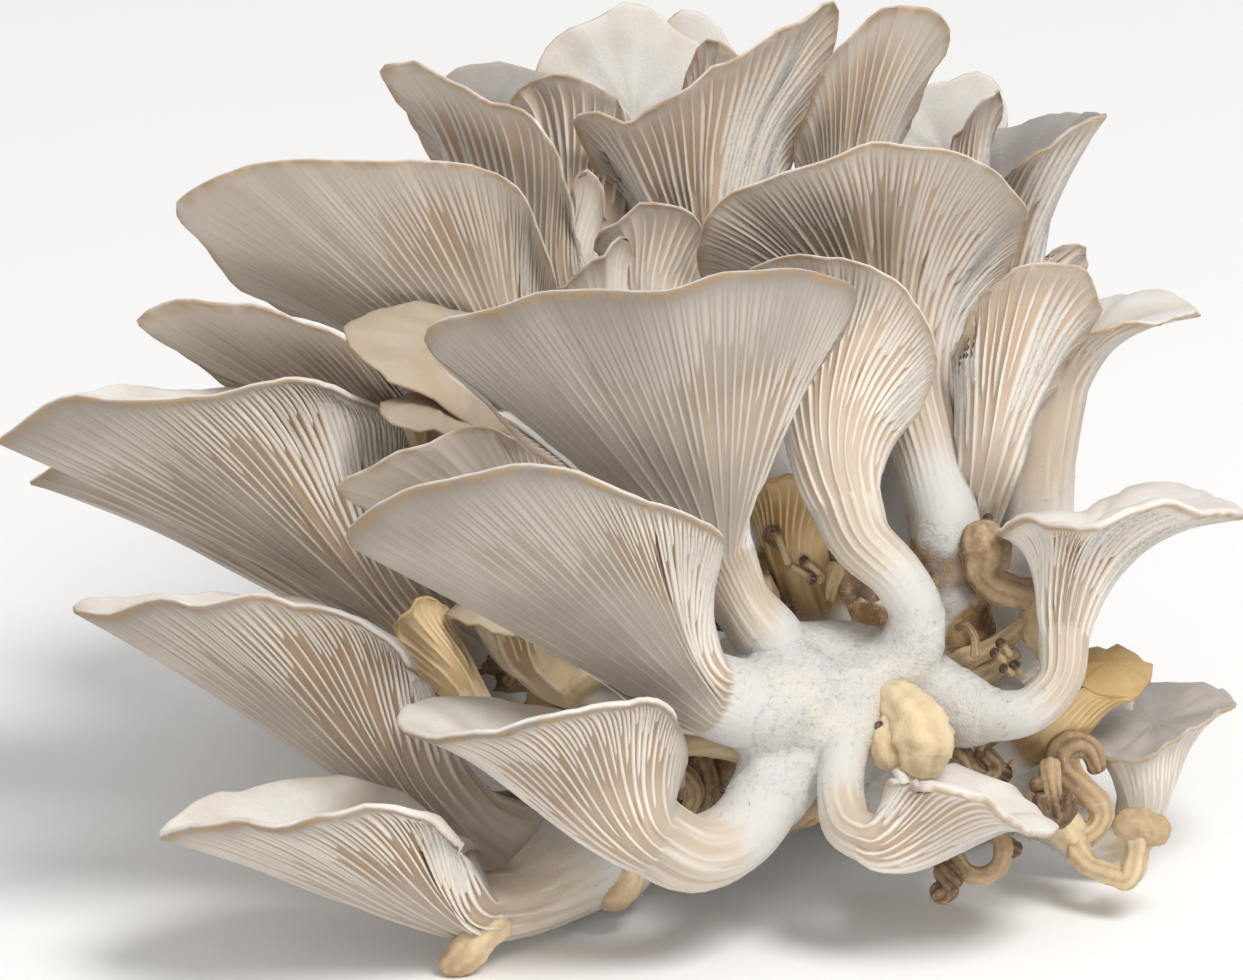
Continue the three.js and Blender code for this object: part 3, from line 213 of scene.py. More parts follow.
             (20, 80, 191.5), (23, 81, 186), (30, 84, 172), (26, 84, 160)]),
    "top_right_back_cap": dict(droop=0.1, dome=1,
        stem=[(54, 66, 86, 8), (58, 76, 120, 7), (62, 78, 142, 7)],
        rim=[(62, 64, 150), (52, 60, 158), (54, 58, 168), (57.5, 57, 176), (61, 57, 178.5), (66, 57, 180.5),
             (71, 58, 182), (75, 59, 180.5), (78, 61, 174), (74, 64, 160)]),
    "inner_yellow_fan": dict(look="amber", depth=1.2, droop=0.2,
        stem=[(44, 10, 60, 7), (40, 8, 72, 6), (36, 6, 84, 6)],
        rim=[(38, 16, 90), (28, 12, 92), (25, 4, 96), (28, -2, 100), (36, -4, 100), (44, 0, 98),
             (46, 6, 92)]),
    "small_round_cap": dict(look="buff", droop=0.6, dome=5.5,
        stem=[(16, 10, 52, 6), (2, 4, 56, 5), (-12, -3, 60, 5), (-17, -6, 64, 4.6)],
        rim=[(-10, -6, 71), (-18, -16, 69), (-27, -20, 70), (-34, -14, 73), (-30, -4, 75), (-20, 2, 76),
             (-12, 0, 74)]),
    "small_yellow_fan": dict(look="golden", depth=1.4, droop=0.3,
        stem=[(-20, 2, 44, 4.5), (-28, -4, 52, 4.5), (-33, -8, 60, 5)],
        rim=[(-32, 2, 64), (-33, -6, 71), (-36, -14, 75.5), (-40, -18, 76), (-44, -16, 71), (-44, -10, 64),
             (-41, -2, 57), (-36, 2, 56)]),
    "right_ochre_fan": dict(look="amber", depth=1.3, droop=0.2, dome=2,
        stem=[(70, 16, 44, 7), (80, 12, 48, 6.5), (85, 10, 51, 6.5)],
        rim=[(92, 18, 65), (100, 18, 66), (106, 14, 62), (104, 6, 57), (97, 3, 56), (90, 4, 60)]),
}

BACK_FANS = {
    "back_low_left_fan": dict(
        stem=[(20, 55, 52, 11), (0, 76, 48.6, 9), (-14, 88, 55, 9)],
        outward=(-0.7, 0.7, 0.15), upward=(0.3, -0.5, 0.8),
        length=66, width=74,
    ),
    "back_low_mid_fan": dict(
        stem=[(38, 60, 52, 11), (36, 82, 56, 9), (34, 94, 62, 9)],
        outward=(-0.05, 0.95, 0.3), upward=(0, -0.4, 0.9),
        length=60, width=76,
    ),
    "back_low_right_fan": dict(
        stem=[(58, 55, 48, 11), (64, 74, 44, 9), (66, 84, 48, 8)],
        outward=(0.12, 0.95, 0.15), upward=(-0.1, -0.4, 0.9),
        length=54, width=54,
    ),
    "back_left_fan": dict(
        stem=[(8, 52, 72, 10), (-20, 66, 82, 8.5), (-34, 72, 92, 8.5)],
        outward=(-0.8, 0.4, 0.1), upward=(0.45, -0.5, 0.75),
        length=60, width=66,
    ),
    "back_mid_fan": dict(
        stem=[(36, 60, 80, 10), (24, 84, 100, 9), (16, 92, 114, 9)],
        outward=(-0.2, 0.7, 0.7), upward=(0.1, -0.75, 0.65),
        length=58, width=78,
    ),
    "back_right_fan": dict(
        stem=[(62, 58, 76, 10), (66, 72, 92, 8.5), (67, 76, 102, 8.5)],
        outward=(0.12, 0.7, 0.6), upward=(-0.1, -0.65, 0.75),
        length=50, width=48,
    ),
}
BACK_FAN_POINTS = 11

# Lines of points and radii, each with how deep it is grooved and its tone at root and tip
PINS = {
    "dark_pin": [
        ([(-20, 8, 35, 2.6), (-26, 4, 36, 2), (-30, 1, 37, 3.4), (-31.5, 0, 38, 2.4)], (0.1, 0.5, 0.05))],
    "hook_pin": [
        ([(3, -9, 24, 2.4), (2, -10, 19.5, 3), (-1, -10, 16.5, 3.2), (-4, -9, 17, 2)], (0.05, 0.85, 0.6))],
    "stub_pin": [
        ([(-25, -27, 12, 4), (-29, -29, 8, 4), (-32, -30, 4.5, 4), (-34, -30, 3.2, 2.6)],
          (0.06, 0.85, 0.6))],
    "pale_knob_pair": [
        ([(-14, 14, 58, 3), (-20, 8, 64, 4.6), (-20, 8, 70, 4.2)], (0.03, 1.0, 0.95)),
        ([(-16, 12, 57, 2.6), (-25, 9, 64, 2.2), (-27, 10, 71, 2.6)], (0.03, 1.0, 0.9))],
    "orange_pin": [
        ([(-10, -13, 57, 2), (-5, -15, 61, 2.6), (0, -14, 61.5, 2)], (0.04, 0.9, 0.85))],
    "dried_cluster": [
        ([(44, 2, 42, 4), (39, -1, 42, 5), (38, -3, 37, 5), (35, -4, 34, 4), (31, -5, 31, 2.4),
          (28.6, -5.4, 28.6, 2.6), (26.8, -5.6, 29.4, 2)], (0.12, 0.7, 0.1)),
        ([(44, 2, 38, 4), (40, -3, 36, 4.4)], (0.1, 0.65, 0.7)),
        ([(41, -4, 41, 1.7), (40.8, -7, 44.5, 2), (41, -8, 47.2, 2)], (0.06, 0.1, 0.45)),
        ([(37, -6, 39.5, 2.4), (34.6, -9, 39, 2.4), (32.4, -10, 37, 2), (30.6, -11, 35.4, 1.5)],
          (0.16, 0.7, 1.0))],
    "folded_cap": [
        ([(54, -13, 57, 3.4), (58.6, -18, 53, 5.4), (60.6, -20, 48.4, 6.4), (60.4, -20, 44.6, 5.6)],
          (0.06, 0.95, 0.9)),
        ([(55, -15, 52, 3.6), (53.4, -18, 47.6, 3.8), (54, -19, 44.4, 3.4)], (0.06, 0.9, 0.8))],
    "dried_curl": [
        ([(66, -2, 47, 2.4), (69, -5, 44, 2), (71, -6, 41, 1.8), (73.6, -6, 40, 1.8)], (0.1, 0.5, 0.35)),
        ([(73.6, -6, 40, 1.8), (75.4, -6, 42.4, 1.8), (73.4, -6, 45, 1.8)], (0.1, 0.4, 0.4)),
        ([(74.6, -6, 43, 1.8), (77, -5, 41, 1.8)], (0.1, 0.25, 0.1))],
    "ring_curl": [
        ([(86, -4, 43, 2), (86, -6, 40, 2), (86.6, -7, 36, 1.8), (87, -7.4, 33, 1.8)], (0.1, 0.6, 0.2)),
        ([(84, -7, 36.4, 1.6), (84.8, -7.5, 33, 1.8), (87, -7.5, 31.8, 1.8), (89.2, -7.4, 33.4, 1.8),
          (89.6, -7, 36.4, 1.6)], (0.06, 0.25, 0.2)),
        ([(86, -6, 39, 1.6), (83, -6.5, 39.2, 1.7)], (0.06, 0.35, 0.3))],
    "curly_stem": [
        ([(95.4, 5, 42.6, 2), (94, 5, 46, 2.6), (91, 4, 47.4, 3), (88.4, 4, 45.5, 3.2),
          (88.6, 4, 42.5, 3.2), (91, 3.5, 39.5, 2.7), (94.5, 3, 36.5, 2.5), (96.4, 3, 33.5, 2.2),
          (95.2, 3, 30.2, 2), (91, 3, 28, 2.8)], (0.1, 0.45, 0.8)),
        ([(84, 6, 36, 4), (86.5, 5, 33, 4), (89, 4, 30.5, 4.4), (92, 3, 27.5, 3.2)], (0.03, 0.95, 0.85))],
    "ochre_cap": [
        ([(91.5, 1, 25.6, 2.6), (94, -1, 22.8, 2.2), (98, -3, 21.2, 2.2), (101.5, -4, 20.6, 2.4),
          (103, -4.5, 24, 2.4), (103.6, -5.5, 29, 3)], (0.08, 0.8, 0.85)),
        ([(100.6, -6, 30.8, 3), (104, -6, 31.2, 3.5), (107.8, -6, 29.6, 3)], (0.04, 0.6, 0.6))],
    "dangling_pins": [
        ([(60, -9, 33, 3.4), (63.2, -12, 27.5, 2.6), (65, -13, 22.6, 2)], (0.12, 0.7, 0.4)),
        ([(64.8, -14, 22, 2.5), (66.2, -14, 19.8, 2.6)], (0.12, 0.3, 0.3)),
        ([(66, -14, 18.8, 2), (63.8, -14, 17.4, 2.5)], (0.12, 0.3, 0.3)),
        ([(62, -8, 31, 3), (66.4, -8, 28, 2), (66.8, -8, 25, 1.9), (69, -8, 21.8, 1.9),
          (72.4, -8, 20.8, 1.9), (75.6, -8, 22.6, 1.9), (76.6, -8, 26, 1.9), (75.4, -7, 29.4, 2),
          (70, -7, 30.4, 2)], (0.05, 0.75, 0.6)),
        ([(76.8, -7, 27.6, 1.8), (79, -6, 26, 1.7)], (0.1, 0.3, 0.2))],
    "tan_lump": [
        ([(84, 8, 77, 3.6), (86, 5, 71, 6.2), (88, 4, 67, 5.6), (89, 4, 65, 3.6)], (0.03, 0.7, 0.7))],
    "dried_small_cap": [
        ([(72, 2, 89, 4), (73, 2, 86, 5.4), (73, 2, 80.5, 3.6), (77, 3, 78, 3.2), (81, 5, 77, 3.4),
          (84, 8, 75, 2.6)], (0.08, 0.5, 0.65))],
}

# Strands of dried tissue in the hollows between the stems, on the base
STRANDS = [
    ([(24, 16, 68, 6), (29, 18, 80, 8), (36, 18, 92, 7)], (0.16, 0.2, 0.35)),
    ([(40, 14, 64, 6), (45, 17, 76, 7), (43, 18, 90, 6)], (0.16, 0.25, 0.4)),
    ([(12, 4, 32, 6), (20, 0, 41, 7), (29, -3, 46, 6)], (0.16, 0.25, 0.45)),
    ([(-32, 12, 60, 5), (-20, 9, 63, 6), (-8, 6, 62, 6), (4, 2, 59, 5)], (0.14, 0.3, 0.4)),
    ([(68, 7, 83, 1.6), (74, 7, 81, 1.5), (79, 7, 78.4, 1.4), (84, 8, 75, 1.2)], (0.14, 0.9, 0.8)),
    ([(68, 8, 80, 1.6), (74, 8, 78, 1.6), (79, 8, 75.6, 1.2)], (0.14, 0.85, 0.7)),
    ([(62, 8, 60, 2.6), (69, 6, 64, 2.4), (76, 6, 67.4, 2.0), (82, 7, 72, 1.6)], (0.1, 0.7, 0.8)),
    ([(66, 7, 59, 2.4), (73, 5, 61, 2.0), (79, 5, 65, 1.6)], (0.1, 0.75, 0.7)),
    ([(67.4, -2, 70.4, 0.7), (69, -3, 71, 0.8), (70.8, -3, 68.6, 0.9), (71, -2, 65, 1.0)],
      (0.1, 0.3, 0.55)),
    ([(30, 4, 90, 1.8), (33, 4, 85, 1.5), (36, 3, 82, 1.5), (40, 2, 80.4, 1.4)], (0.08, 0.75, 0.6)),
    ([(33, 3, 82, 1.3), (32, 2, 86, 1.2), (30.4, 1, 89.4, 2.2)], (0.06, 0.7, 0.25)),
    ([(40, 5, 70, 2.0), (41, 4, 76, 1.8), (43, 4, 82, 2.2)], (0.08, 0.5, 0.6)),
    ([(30, 4, 72, 1.6), (31, 2, 76, 1.2), (29, 1, 80, 1.4)], (0.08, 0.6, 0.7)),
    ([(12, -6, 38, 2.2), (13, -9, 41, 2.0), (15, -9, 38, 1.8), (14, -8, 34, 1.6)], (0.14, 0.55, 0.7)),
    ([(17, -5, 44, 2.0), (18, -7, 39, 2.2), (17, -7, 33, 2.0)], (0.08, 0.45, 0.35)),
    ([(12, -12, 46.5, 2.0), (19, -11, 47.5, 2.6), (27, -9, 46, 3.2)], (0.05, 0.95, 0.9)),
    ([(-22, 4, 60, 1.8), (-16, 0, 66, 1.6), (-12, 0, 72, 1.4)], (0.12, 0.4, 0.5)),
    ([(-8, -6, 58, 1.6), (-2, -7, 62, 1.8), (4, -8, 62, 1.6)], (0.1, 0.8, 0.75)),
]

# The smallest pins, with dark heads: where each head stands, and the way its stem hangs
TINY_PINS = [
    ((31, -2, 90), (2.5, 0.5, -7)), ((36.6, -1, 84), (3, 1, -3)), ((38.6, -1.5, 80), (-4, 1, 2)),
    ((28.8, -1.5, 81.4), (1, 0.5, -4)), ((26.8, -1, 78), (1.5, 1, -4)),
    ((57.6, -14.5, 56), (1.4, 2, -3.5)), ((51.6, -19, 51), (1.6, 2, -1)),
    ((76, -1, 67.6), (2, 1.5, -3)), ((74.8, -2, 65.6), (2, 1.5, -2.4)),
    ((78.8, 0, 63.2), (1.6, 2, -3)), ((76.6, -2, 62.4), (1.8, 2, -1.6)),
    ((78, -3, 56.6), (1, 2, -2.6)), ((77.2, -3, 41), (1.4, 2, 2)), ((71.6, -8, 45), (1, 3, 2)),
    ((33.4, -11, 44.6), (1, 3, 3)), ((13, -12, 33), (1.4, 2, 3)), ((73.6, 2, 92.6), (1, 2, -4)),
]

BASE_LIMBS = [
    [(66, 60, 30, 18), (58, 42, 46, 22), (46, 26, 60, 22)],
    [(48, 4, 60, 12), (34, -5, 60, 11.5), (24, -8, 60, 10)],
    [(46, 22, 62, 18), (28, 26, 80, 14), (16, 30, 98, 9)],
    [(52, 30, 64, 18), (56, 40, 84, 14), (58, 46, 100, 10)],
    [(56, 24, 60, 16), (68, 18, 56, 12), (78, 14, 50, 9)],
    [(44, 12, 52, 14), (20, 14, 42, 12), (0, 10, 34, 12), (-8, 6, 28, 11)],
    [(44, 20, 60, 14), (20, 18, 60, 11), (2, 16, 60, 9)],
    [(40, 40, 56, 16), (22, 56, 56, 12)],
    [(56, 44, 52, 16), (66, 58, 50, 12)],
]

# Where the base shows brown and not wool, partly brown tissue and partly painted shade deep in the hollows
# between the stems: the middle and radius of each hollow
TISSUE_AND_SHADE_HOLLOWS = ((36, 14, 79, 16), (50, 8, 70, 8), (15, -6, 37, 12), (16, 2, 46, 10),
           (-14, 6, 62, 18), (6, 12, 58, 12), (72, 8, 68, 9), (66, 14, 82, 14),
           (-20, -6, 34, 6), (76, 4, 44, 8))

# ---------------------------------------------------------------- small helpers


def unit(v):
    return v / np.maximum(np.linalg.norm(v, axis=-1, keepdims=True), 1e-9)


def dot(a, b):
    return np.sum(a * b, axis=-1, keepdims=True)


def smooth(x, low, high):
    """0 below low, 1 above high, and a smooth step between them."""
    t = np.clip((x - low) / (high - low), 0, 1)
    return t * t * (3 - 2 * t)


def from_row(points):
    """Row frame in metres to growth frame in mm."""
    x, y, z = np.moveaxis(np.asarray(points, float) / MM, -1, 0)
    y = y + CENTRE[1]
    z = z + BUTT_HEIGHT
    return np.stack([x + CENTRE[0], y * math.cos(LEAN) - z * math.sin(LEAN),
                     y * math.sin(LEAN) + z * math.cos(LEAN)], axis=-1)


def to_row(points):
    """Growth frame in mm to row frame in metres."""
    across, depth, height = np.moveaxis(np.asarray(points, float), -1, 0)
    y = height * math.sin(LEAN) + depth * math.cos(LEAN) - CENTRE[1]
    z = height * math.cos(LEAN) - depth * math.sin(LEAN) - BUTT_HEIGHT
    return np.stack([across - CENTRE[0], y, z], axis=-1) * MM


LATTICE = np.random.default_rng(7).uniform(-1, 1, (32, 32, 32))


def noise(points, size, octaves=2):
    """Smooth noise, about -1 to 1, with bumps of the given size in mm and finer ones."""
    total = 0
    for octave in range(octaves):
        place = np.asarray(points, float) / size * 2 ** octave + 7.3 * octave
        cell = np.floor(place).astype(int)
        part = place - cell
        part = part * part * (3 - 2 * part)
        for corner in range(8):
            step = np.array([corner & 1, corner >> 1 & 1, corner >> 2])
            weight = np.prod(np.where(step, part, 1 - part), axis=-1)
            index = (cell + step) % len(LATTICE)
            total = total + weight * LATTICE[tuple(np.moveaxis(index, -1, 0))] / 2 ** octave
    return total


SPAN_STEPS = 24


def spline(points, closed):
    """Centripetal Catmull-Rom curve through the points."""
    points = np.asarray(points, float)
    if closed:
        padded = np.concatenate([points[-1:], points, points[:2]])
    else:
        padded = np.concatenate([2 * points[:1] - points[1:2], points,
                                 2 * points[-1:] - points[-2:-1]])
    t = (np.arange(SPAN_STEPS) / SPAN_STEPS)[:, None]
    spans = []
    for p0, p1, p2, p3 in zip(padded, padded[1:], padded[2:], padded[3:]):
        d0, d1, d2 = (max(np.linalg.norm(b - a) ** 0.5, 1e-4)
                      for a, b in ((p0, p1), (p1, p2), (p2, p3)))
        leave = ((p1 - p0) / d0 - (p2 - p0) / (d0 + d1) + (p2 - p1) / d1) * d1
        arrive = ((p2 - p1) / d1 - (p3 - p1) / (d1 + d2) + (p3 - p2) / d2) * d1
        spans.append((2 * t ** 3 - 3 * t ** 2 + 1) * p1 + (t ** 3 - 2 * t ** 2 + t) * leave
                     + (3 * t ** 2 - 2 * t ** 3) * p2 + (t ** 3 - t ** 2) * arrive)
    spans.append(points[:1] if closed else points[-1:])
    return np.concatenate(spans)


def swept(line):
    """The path through a line's points, with its radius and direction at each step."""
    line = np.asarray(line, float)
    path = spline(line[:, :3], closed=False)
    radii = np.interp(np.linspace(0, len(line) - 1, len(path)), np.arange(len(line)), line[:, 3])
    return path, radii, unit(np.gradient(path, axis=0))


def at_places(table, places):
    """Rows of a table at fractional row numbers."""
    rows = np.arange(len(table))
    return np.stack([np.interp(places, rows, column) for column in table.T], axis=-1)


def at_row(row, *tables):
    """One fractional row of each table."""
    return [at_places(table, [row])[0] for table in tables]


def carried_back(tangents, side):
    """A direction carried from the end of a line to its start without twisting about it."""
    sides = [side]
    for after, before in zip(tangents[:0:-1], tangents[-2::-1]):
        axis = np.cross(after, before)
        side = sides[-1]
        side = side + np.cross(axis, side) + np.cross(axis, np.cross(axis, side)) / (
            1 + float(dot(after, before)[0]))
        sides.append(unit(side - dot(side, before) * before))
    return np.array(sides[::-1])


# ---------------------------------------------------------------- meshes


def stretch(first, count, part, parts):
    """The vertices along one of the equal parts of a ring."""
    return [first + (part * count // parts + k) % count for k in range(count // parts + 1)]


def woven(rings, start, end, flipped=False):
    """Vertices and faces of a closed skin over rings, drawn to a point at each end.

    A ring may have several times as many vertices as the next one.
    """
    vertices = np.concatenate([start[None], *rings, end[None]])
    first = 1
    count = len(rings[0])
    faces = [[0, first + (i + 1) % count, first + i] for i in range(count)]
    for ring in rings[1:]:
        parts = min(count, len(ring))
        faces += [stretch(first, count, part, parts)
                  + stretch(first + count, len(ring), part, parts)[::-1]
                  for part in range(parts)]
        first += count
        count = len(ring)
    faces += [[first + count, first + i, first + (i + 1) % count] for i in range(count)]
    if flipped:
        faces = [face[::-1] for face in faces]
    return vertices, faces


def merged(parts):
    """Several vertex and face lists as one."""
    vertices, faces, first = [], [], 0
    for points, loops in parts:
        vertices.append(points)
        faces += [[first + i for i in loop] for loop in loops]
        first += len(points)
    return np.concatenate(vertices), faces


def add_values(mesh, key, numbers):
    layer = mesh.attributes.new(key, "FLOAT", "POINT")
    layer.data.foreach_set("value", np.asarray(numbers, np.float32))


def add_object(name, vertices, faces, material, values=()):
    """A smooth mesh object from growth-frame vertices, with a named value at each vertex."""
    mesh = bpy.data.meshes.new(name)
    places = to_row(vertices)
    places[:, 2] = np.maximum(places[:, 2], 0)    # nothing goes below the floor
    mesh.from_pydata(places.tolist(), [], faces)
    for key in values:
        add_values(mesh, key, values[key])
    mesh.materials.append(material)
    mesh.shade_smooth()
    piece = bpy.data.objects.new(name, mesh)
    bpy.context.collection.objects.link(piece)
    return piece


def stands_for(piece, node):
    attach(piece, "root")
    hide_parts(node)


# ---------------------------------------------------------------- fruit bodies

# Rims, and the flow lines that run to them from the neck of the stem
RIM_STEPS = 720
RIM_WAVES = (5, 8, 13, 21, 34, 55)
RIPPLE = 0.6                      # about the height of the longest waves
NECK_REACH, RIM_REACH = 0.42, 0.36    # of a line's length, for the handles at its ends
NECK_SPREAD, RIM_FLATTEN = 0.2, 0.7
SQUARE_SHARE = 0.15               # 1 meets the margin square on, 0 runs from the neck
TONGUE_FROM, TONGUE_TO = 0.5, 0.9    # of the reach, where a tongue's lines straighten
# Gills, of which each cell round the cap holds one
GILL_DEPTH = 2.2
GILL_HALF_WIDTH = 0.36            # of a blade at its foot
GILL_SPACING = 2.45               # at the margin
FEWEST_GILLS, MOST_GILLS = 32, 112
GILL_PLACES = (0, 0.12, 0.35, 0.6, 0.85, 0.95, 0.985, 1)    # from neck (0) to margin (1)
GILL_HEIGHTS = (0.6, 0.75, 0.9, 1, 0.9, 0.5, 0.15, 0.04)    # of the longest gills there
SECOND_GILLS, SHORT_GILLS = 0.86, 0.7    # their height, where the longest ones have 1
START_RUN, SHORT_RUN = 0.09, 0.06    # how far a gill takes to rise to its full height
BLADE_LEAN, BLADE_WANDER = 0.12, 0.3
CALM_CREST = 0.6                  # shade where gills fade out, from valley (0) to crest (1)
# Flesh between the gills and the upper face
NECK_FLESH, WELL_HEIGHT = 0.45, 0.3    # of the neck's radius
FLESH_TAPER, THINNEST = 0.7, 0.3
WALL_SHARE = 0.4                  # of the way to the cup's far wall that flesh may fill
WALL_STEP, WALL_SEARCH = 0.3, 60    # where the search for the far wall starts and ends
SUNK, DEEPEST = 0.42, 0.4         # of a gill's height, and of the flesh, that valleys take
# Rows of vertices from neck to margin, round the lip and back over the upper face
ROWS, FINE_ROWS, BACK_ROWS = 18, 30, 16
ROW_CROWDING = 0.92               # below 1, rows lie closer together near the margin
LIP_TURNS = (-55, -15, 28, 65)    # degrees, from the underside to the upper face
LIP_LINES = (0.5, 1, 0.7, 0.1)    # how brown the lip is there
FINE_LIP_LINES = (1, 0.4, 0.05, 0)
CUP_ROWS = (0.995, 0.96, 0.92, 0.86, 0.78, 0.68, 0.57, 0.46, 0.36, 0.27, 0.19, 0.12)
DOME_ROWS = (0.97, 0.92, 0.85, 0.75, 0.63, 0.5, 0.36, 0.22, 0.1)
CUP_BUMPS, DOME_BUMPS = 0.35, 0.6
# Stems
STEM_FIBRE, STEM_SWELL = 0.22, 0.5
SLEEVE_SHARE = 0.4                # of a stem that the wool climbs
WOOL_FADE = 0.35                  # share of a stem over which its wool thins out


class Cap:
    """The lines along which one fruit body grows, from the neck of its stem to its margin."""

    def __init__(self, stem, rim, droop, tongue, seed):
        self.stem, self.radii, self.tangents = swept(stem)
        self.neck = self.stem[-1]
        self.along = self.tangents[-1]
        self.radius = self.radii[-1]
        self.droop = droop
        self.tongue = tongue

        fine = spline(rim, closed=True)
        length = np.concatenate([[0], np.cumsum(np.linalg.norm(np.diff(fine, axis=0), axis=1))])
        self.perimeter = length[-1]
        even = np.linspace(0, length[-1], RIM_STEPS + 1)
        line = np.stack([np.interp(even, length, column) for column in fine.T], axis=-1)
        self.middle = line[:-1].mean(axis=0)
        self.reach = np.linalg.norm(line - self.neck, axis=1).max()

        between = 0.5 * (line[1:] + line[:-1])
        step = np.linalg.norm(np.diff(line, axis=0), axis=1)
        angle = np.concatenate([[0], np.cumsum(
            step / np.linalg.norm(between - self.neck, axis=1))])
        whole = angle[-1]
        self.share = 0.5 * (np.arange(RIM_STEPS + 1) / RIM_STEPS + angle / whole)
        self.angle = 2 * math.pi * angle / whole

        back = line[0] - self.neck
        self.first = unit(back - dot(back, self.along) * self.along)
        quarter = line[RIM_STEPS // 4] - line[3 * RIM_STEPS // 4]
        self.facing = 1 if np.dot(np.cross(self.along, self.first), quarter) > 0 else -1
        self.second = np.cross(self.along, self.first) * self.facing
        spokes = line - self.middle
        self.upper = unit(np.cross(spokes[:-1], spokes[1:]).sum(axis=0)) * self.facing

        # A margin is never quite even
        rng = np.random.default_rng(seed)
        turn = 2 * math.pi * np.arange(RIM_STEPS + 1) / RIM_STEPS
        out = unit(spokes)
        for waves in RIM_WAVES:
            size = RIPPLE * rng.uniform(0.5, 1) * min(1, 9 / waves) ** 1.2
            for direction, share in ((self.upper, 0.8), (out, 0.45)):
                wave = share * size * np.sin(waves * turn + rng.uniform(0, 6.3))
                line = line + direction * wave[:, None]
        self.line = line
        self.run = unit(np.gradient(np.concatenate([line[-2:-1], line, line[1:2]]), axis=0)[1:-1])

    def controls(self, u):
        """The four points of the flow line at each place round the cap, 0 to 1, and its length."""
        place = np.interp(u, self.share, np.arange(RIM_STEPS + 1))
        end = at_places(self.line, place)
        run = at_places(self.run, place)
        angle = np.interp(u, self.share, self.angle)[:, None]
        spoke = np.cos(angle) * self.first + np.sin(angle) * self.second
        start = self.neck + self.radius * spoke
        square = unit(np.cross(run, self.upper))
        square = square * np.where(dot(square, end - self.middle) < 0, -1, 1)
        away = unit(end - self.neck)
        away = unit(away - RIM_FLATTEN * dot(away, self.upper) * self.upper)
        length = np.linalg.norm(end - start, axis=-1, keepdims=True)
        long = smooth(length / self.radius, 1, 4)
        straight = unit(end - start)
        turn = long * np.clip(0.6 + dot(straight, self.along), 0, 1)
        launch = straight + turn * (unit(self.along + NECK_SPREAD * spoke) - straight)
        leave = unit(away + SQUARE_SHARE * (square - away) - self.droop * self.upper)
        leave = leave + (1 - long) * (straight - leave)
        share = np.linalg.norm(end - self.neck, axis=-1, keepdims=True) / self.reach
        stiff = self.tongue * smooth(share, TONGUE_FROM, TONGUE_TO)
        launch = launch + stiff * (straight - launch)
        leave = leave + stiff * (straight - leave)
        return (start, start + NECK_REACH * length * launch, end - RIM_REACH * length * leave,
                end, length[:, 0])

    def under(self, controls, t):
        """Places on the underside, one row for each t."""
        a, b, c, d, _ = controls
        t = t[:, None, None]
        s = 1 - t
        return s ** 3 * a + 3 * s * s * t * b + 3 * s * t * t * c + t ** 3 * d

    def outward(self, grid):
        """Directions square to the underside, out of the flesh."""
        along = np.gradient(grid, axis=0)
        around = np.roll(grid, -1, axis=1) - np.roll(grid, 1, axis=1)
        return -unit(np.cross(along, around)) * self.facing


def gill_starts(cells, rng):
    """Where each gill starts between neck (0) and margin (1): every fourth one is longest."""
    starts = np.empty(cells)
    starts[0::4] = -0.5
    starts[2::4] = rng.uniform(0.08, 0.24, len(starts[2::4]))
    starts[1::2] = rng.uniform(0.28, 0.52, len(starts[1::2]))
    return starts


def rolling(grid, reach, pick):
    """The least or mean of each place and its neighbours, round the cap and along it."""
    around = [np.roll(grid, shift, axis=1) for shift in range(-reach, reach + 1)]
    grid = pick(np.stack(around), axis=0)
    padded = np.pad(grid, ((1, 1), (0, 0)), mode="edge")
    return pick(np.stack([padded[:-2], padded[1:-1], padded[2:]]), axis=0)


def flesh_depths(cap, surface, outward, t, lip, filled):
    """Thickness of the flesh at each place, less where the cup's far wall is close."""
    thick = NECK_FLESH * cap.radius
    flesh = (thick + (lip - thick) * t ** FLESH_TAPER)[:, None]
    flesh = np.broadcast_to(flesh, surface.shape[:2])
    if filled:
        return np.maximum(flesh, lip)
    rows, cells = surface.shape[:2]
    corners = [[r * cells + c, r * cells + (c + 1) % cells, (r + 1) * cells + (c + 1) % cells,
                (r + 1) * cells + c] for r in range(rows - 1) for c in range(cells)]
    wall = BVHTree.FromPolygons(surface.reshape(-1, 3).tolist(), corners)
    limit = np.full((rows, cells), np.inf)
    for r in range(1, rows):
        for c in range(cells):
            inward = -outward[r, c]
            hit = wall.ray_cast(Vector(surface[r, c] + WALL_STEP * inward), Vector(inward),
                                WALL_SEARCH)
            if hit[0] is not None:
                limit[r, c] = WALL_SHARE * (hit[3] + WALL_STEP)
    flesh = rolling(np.minimum(flesh, limit), 1, np.min)
    return np.maximum(rolling(flesh, 2, np.mean), THINNEST)


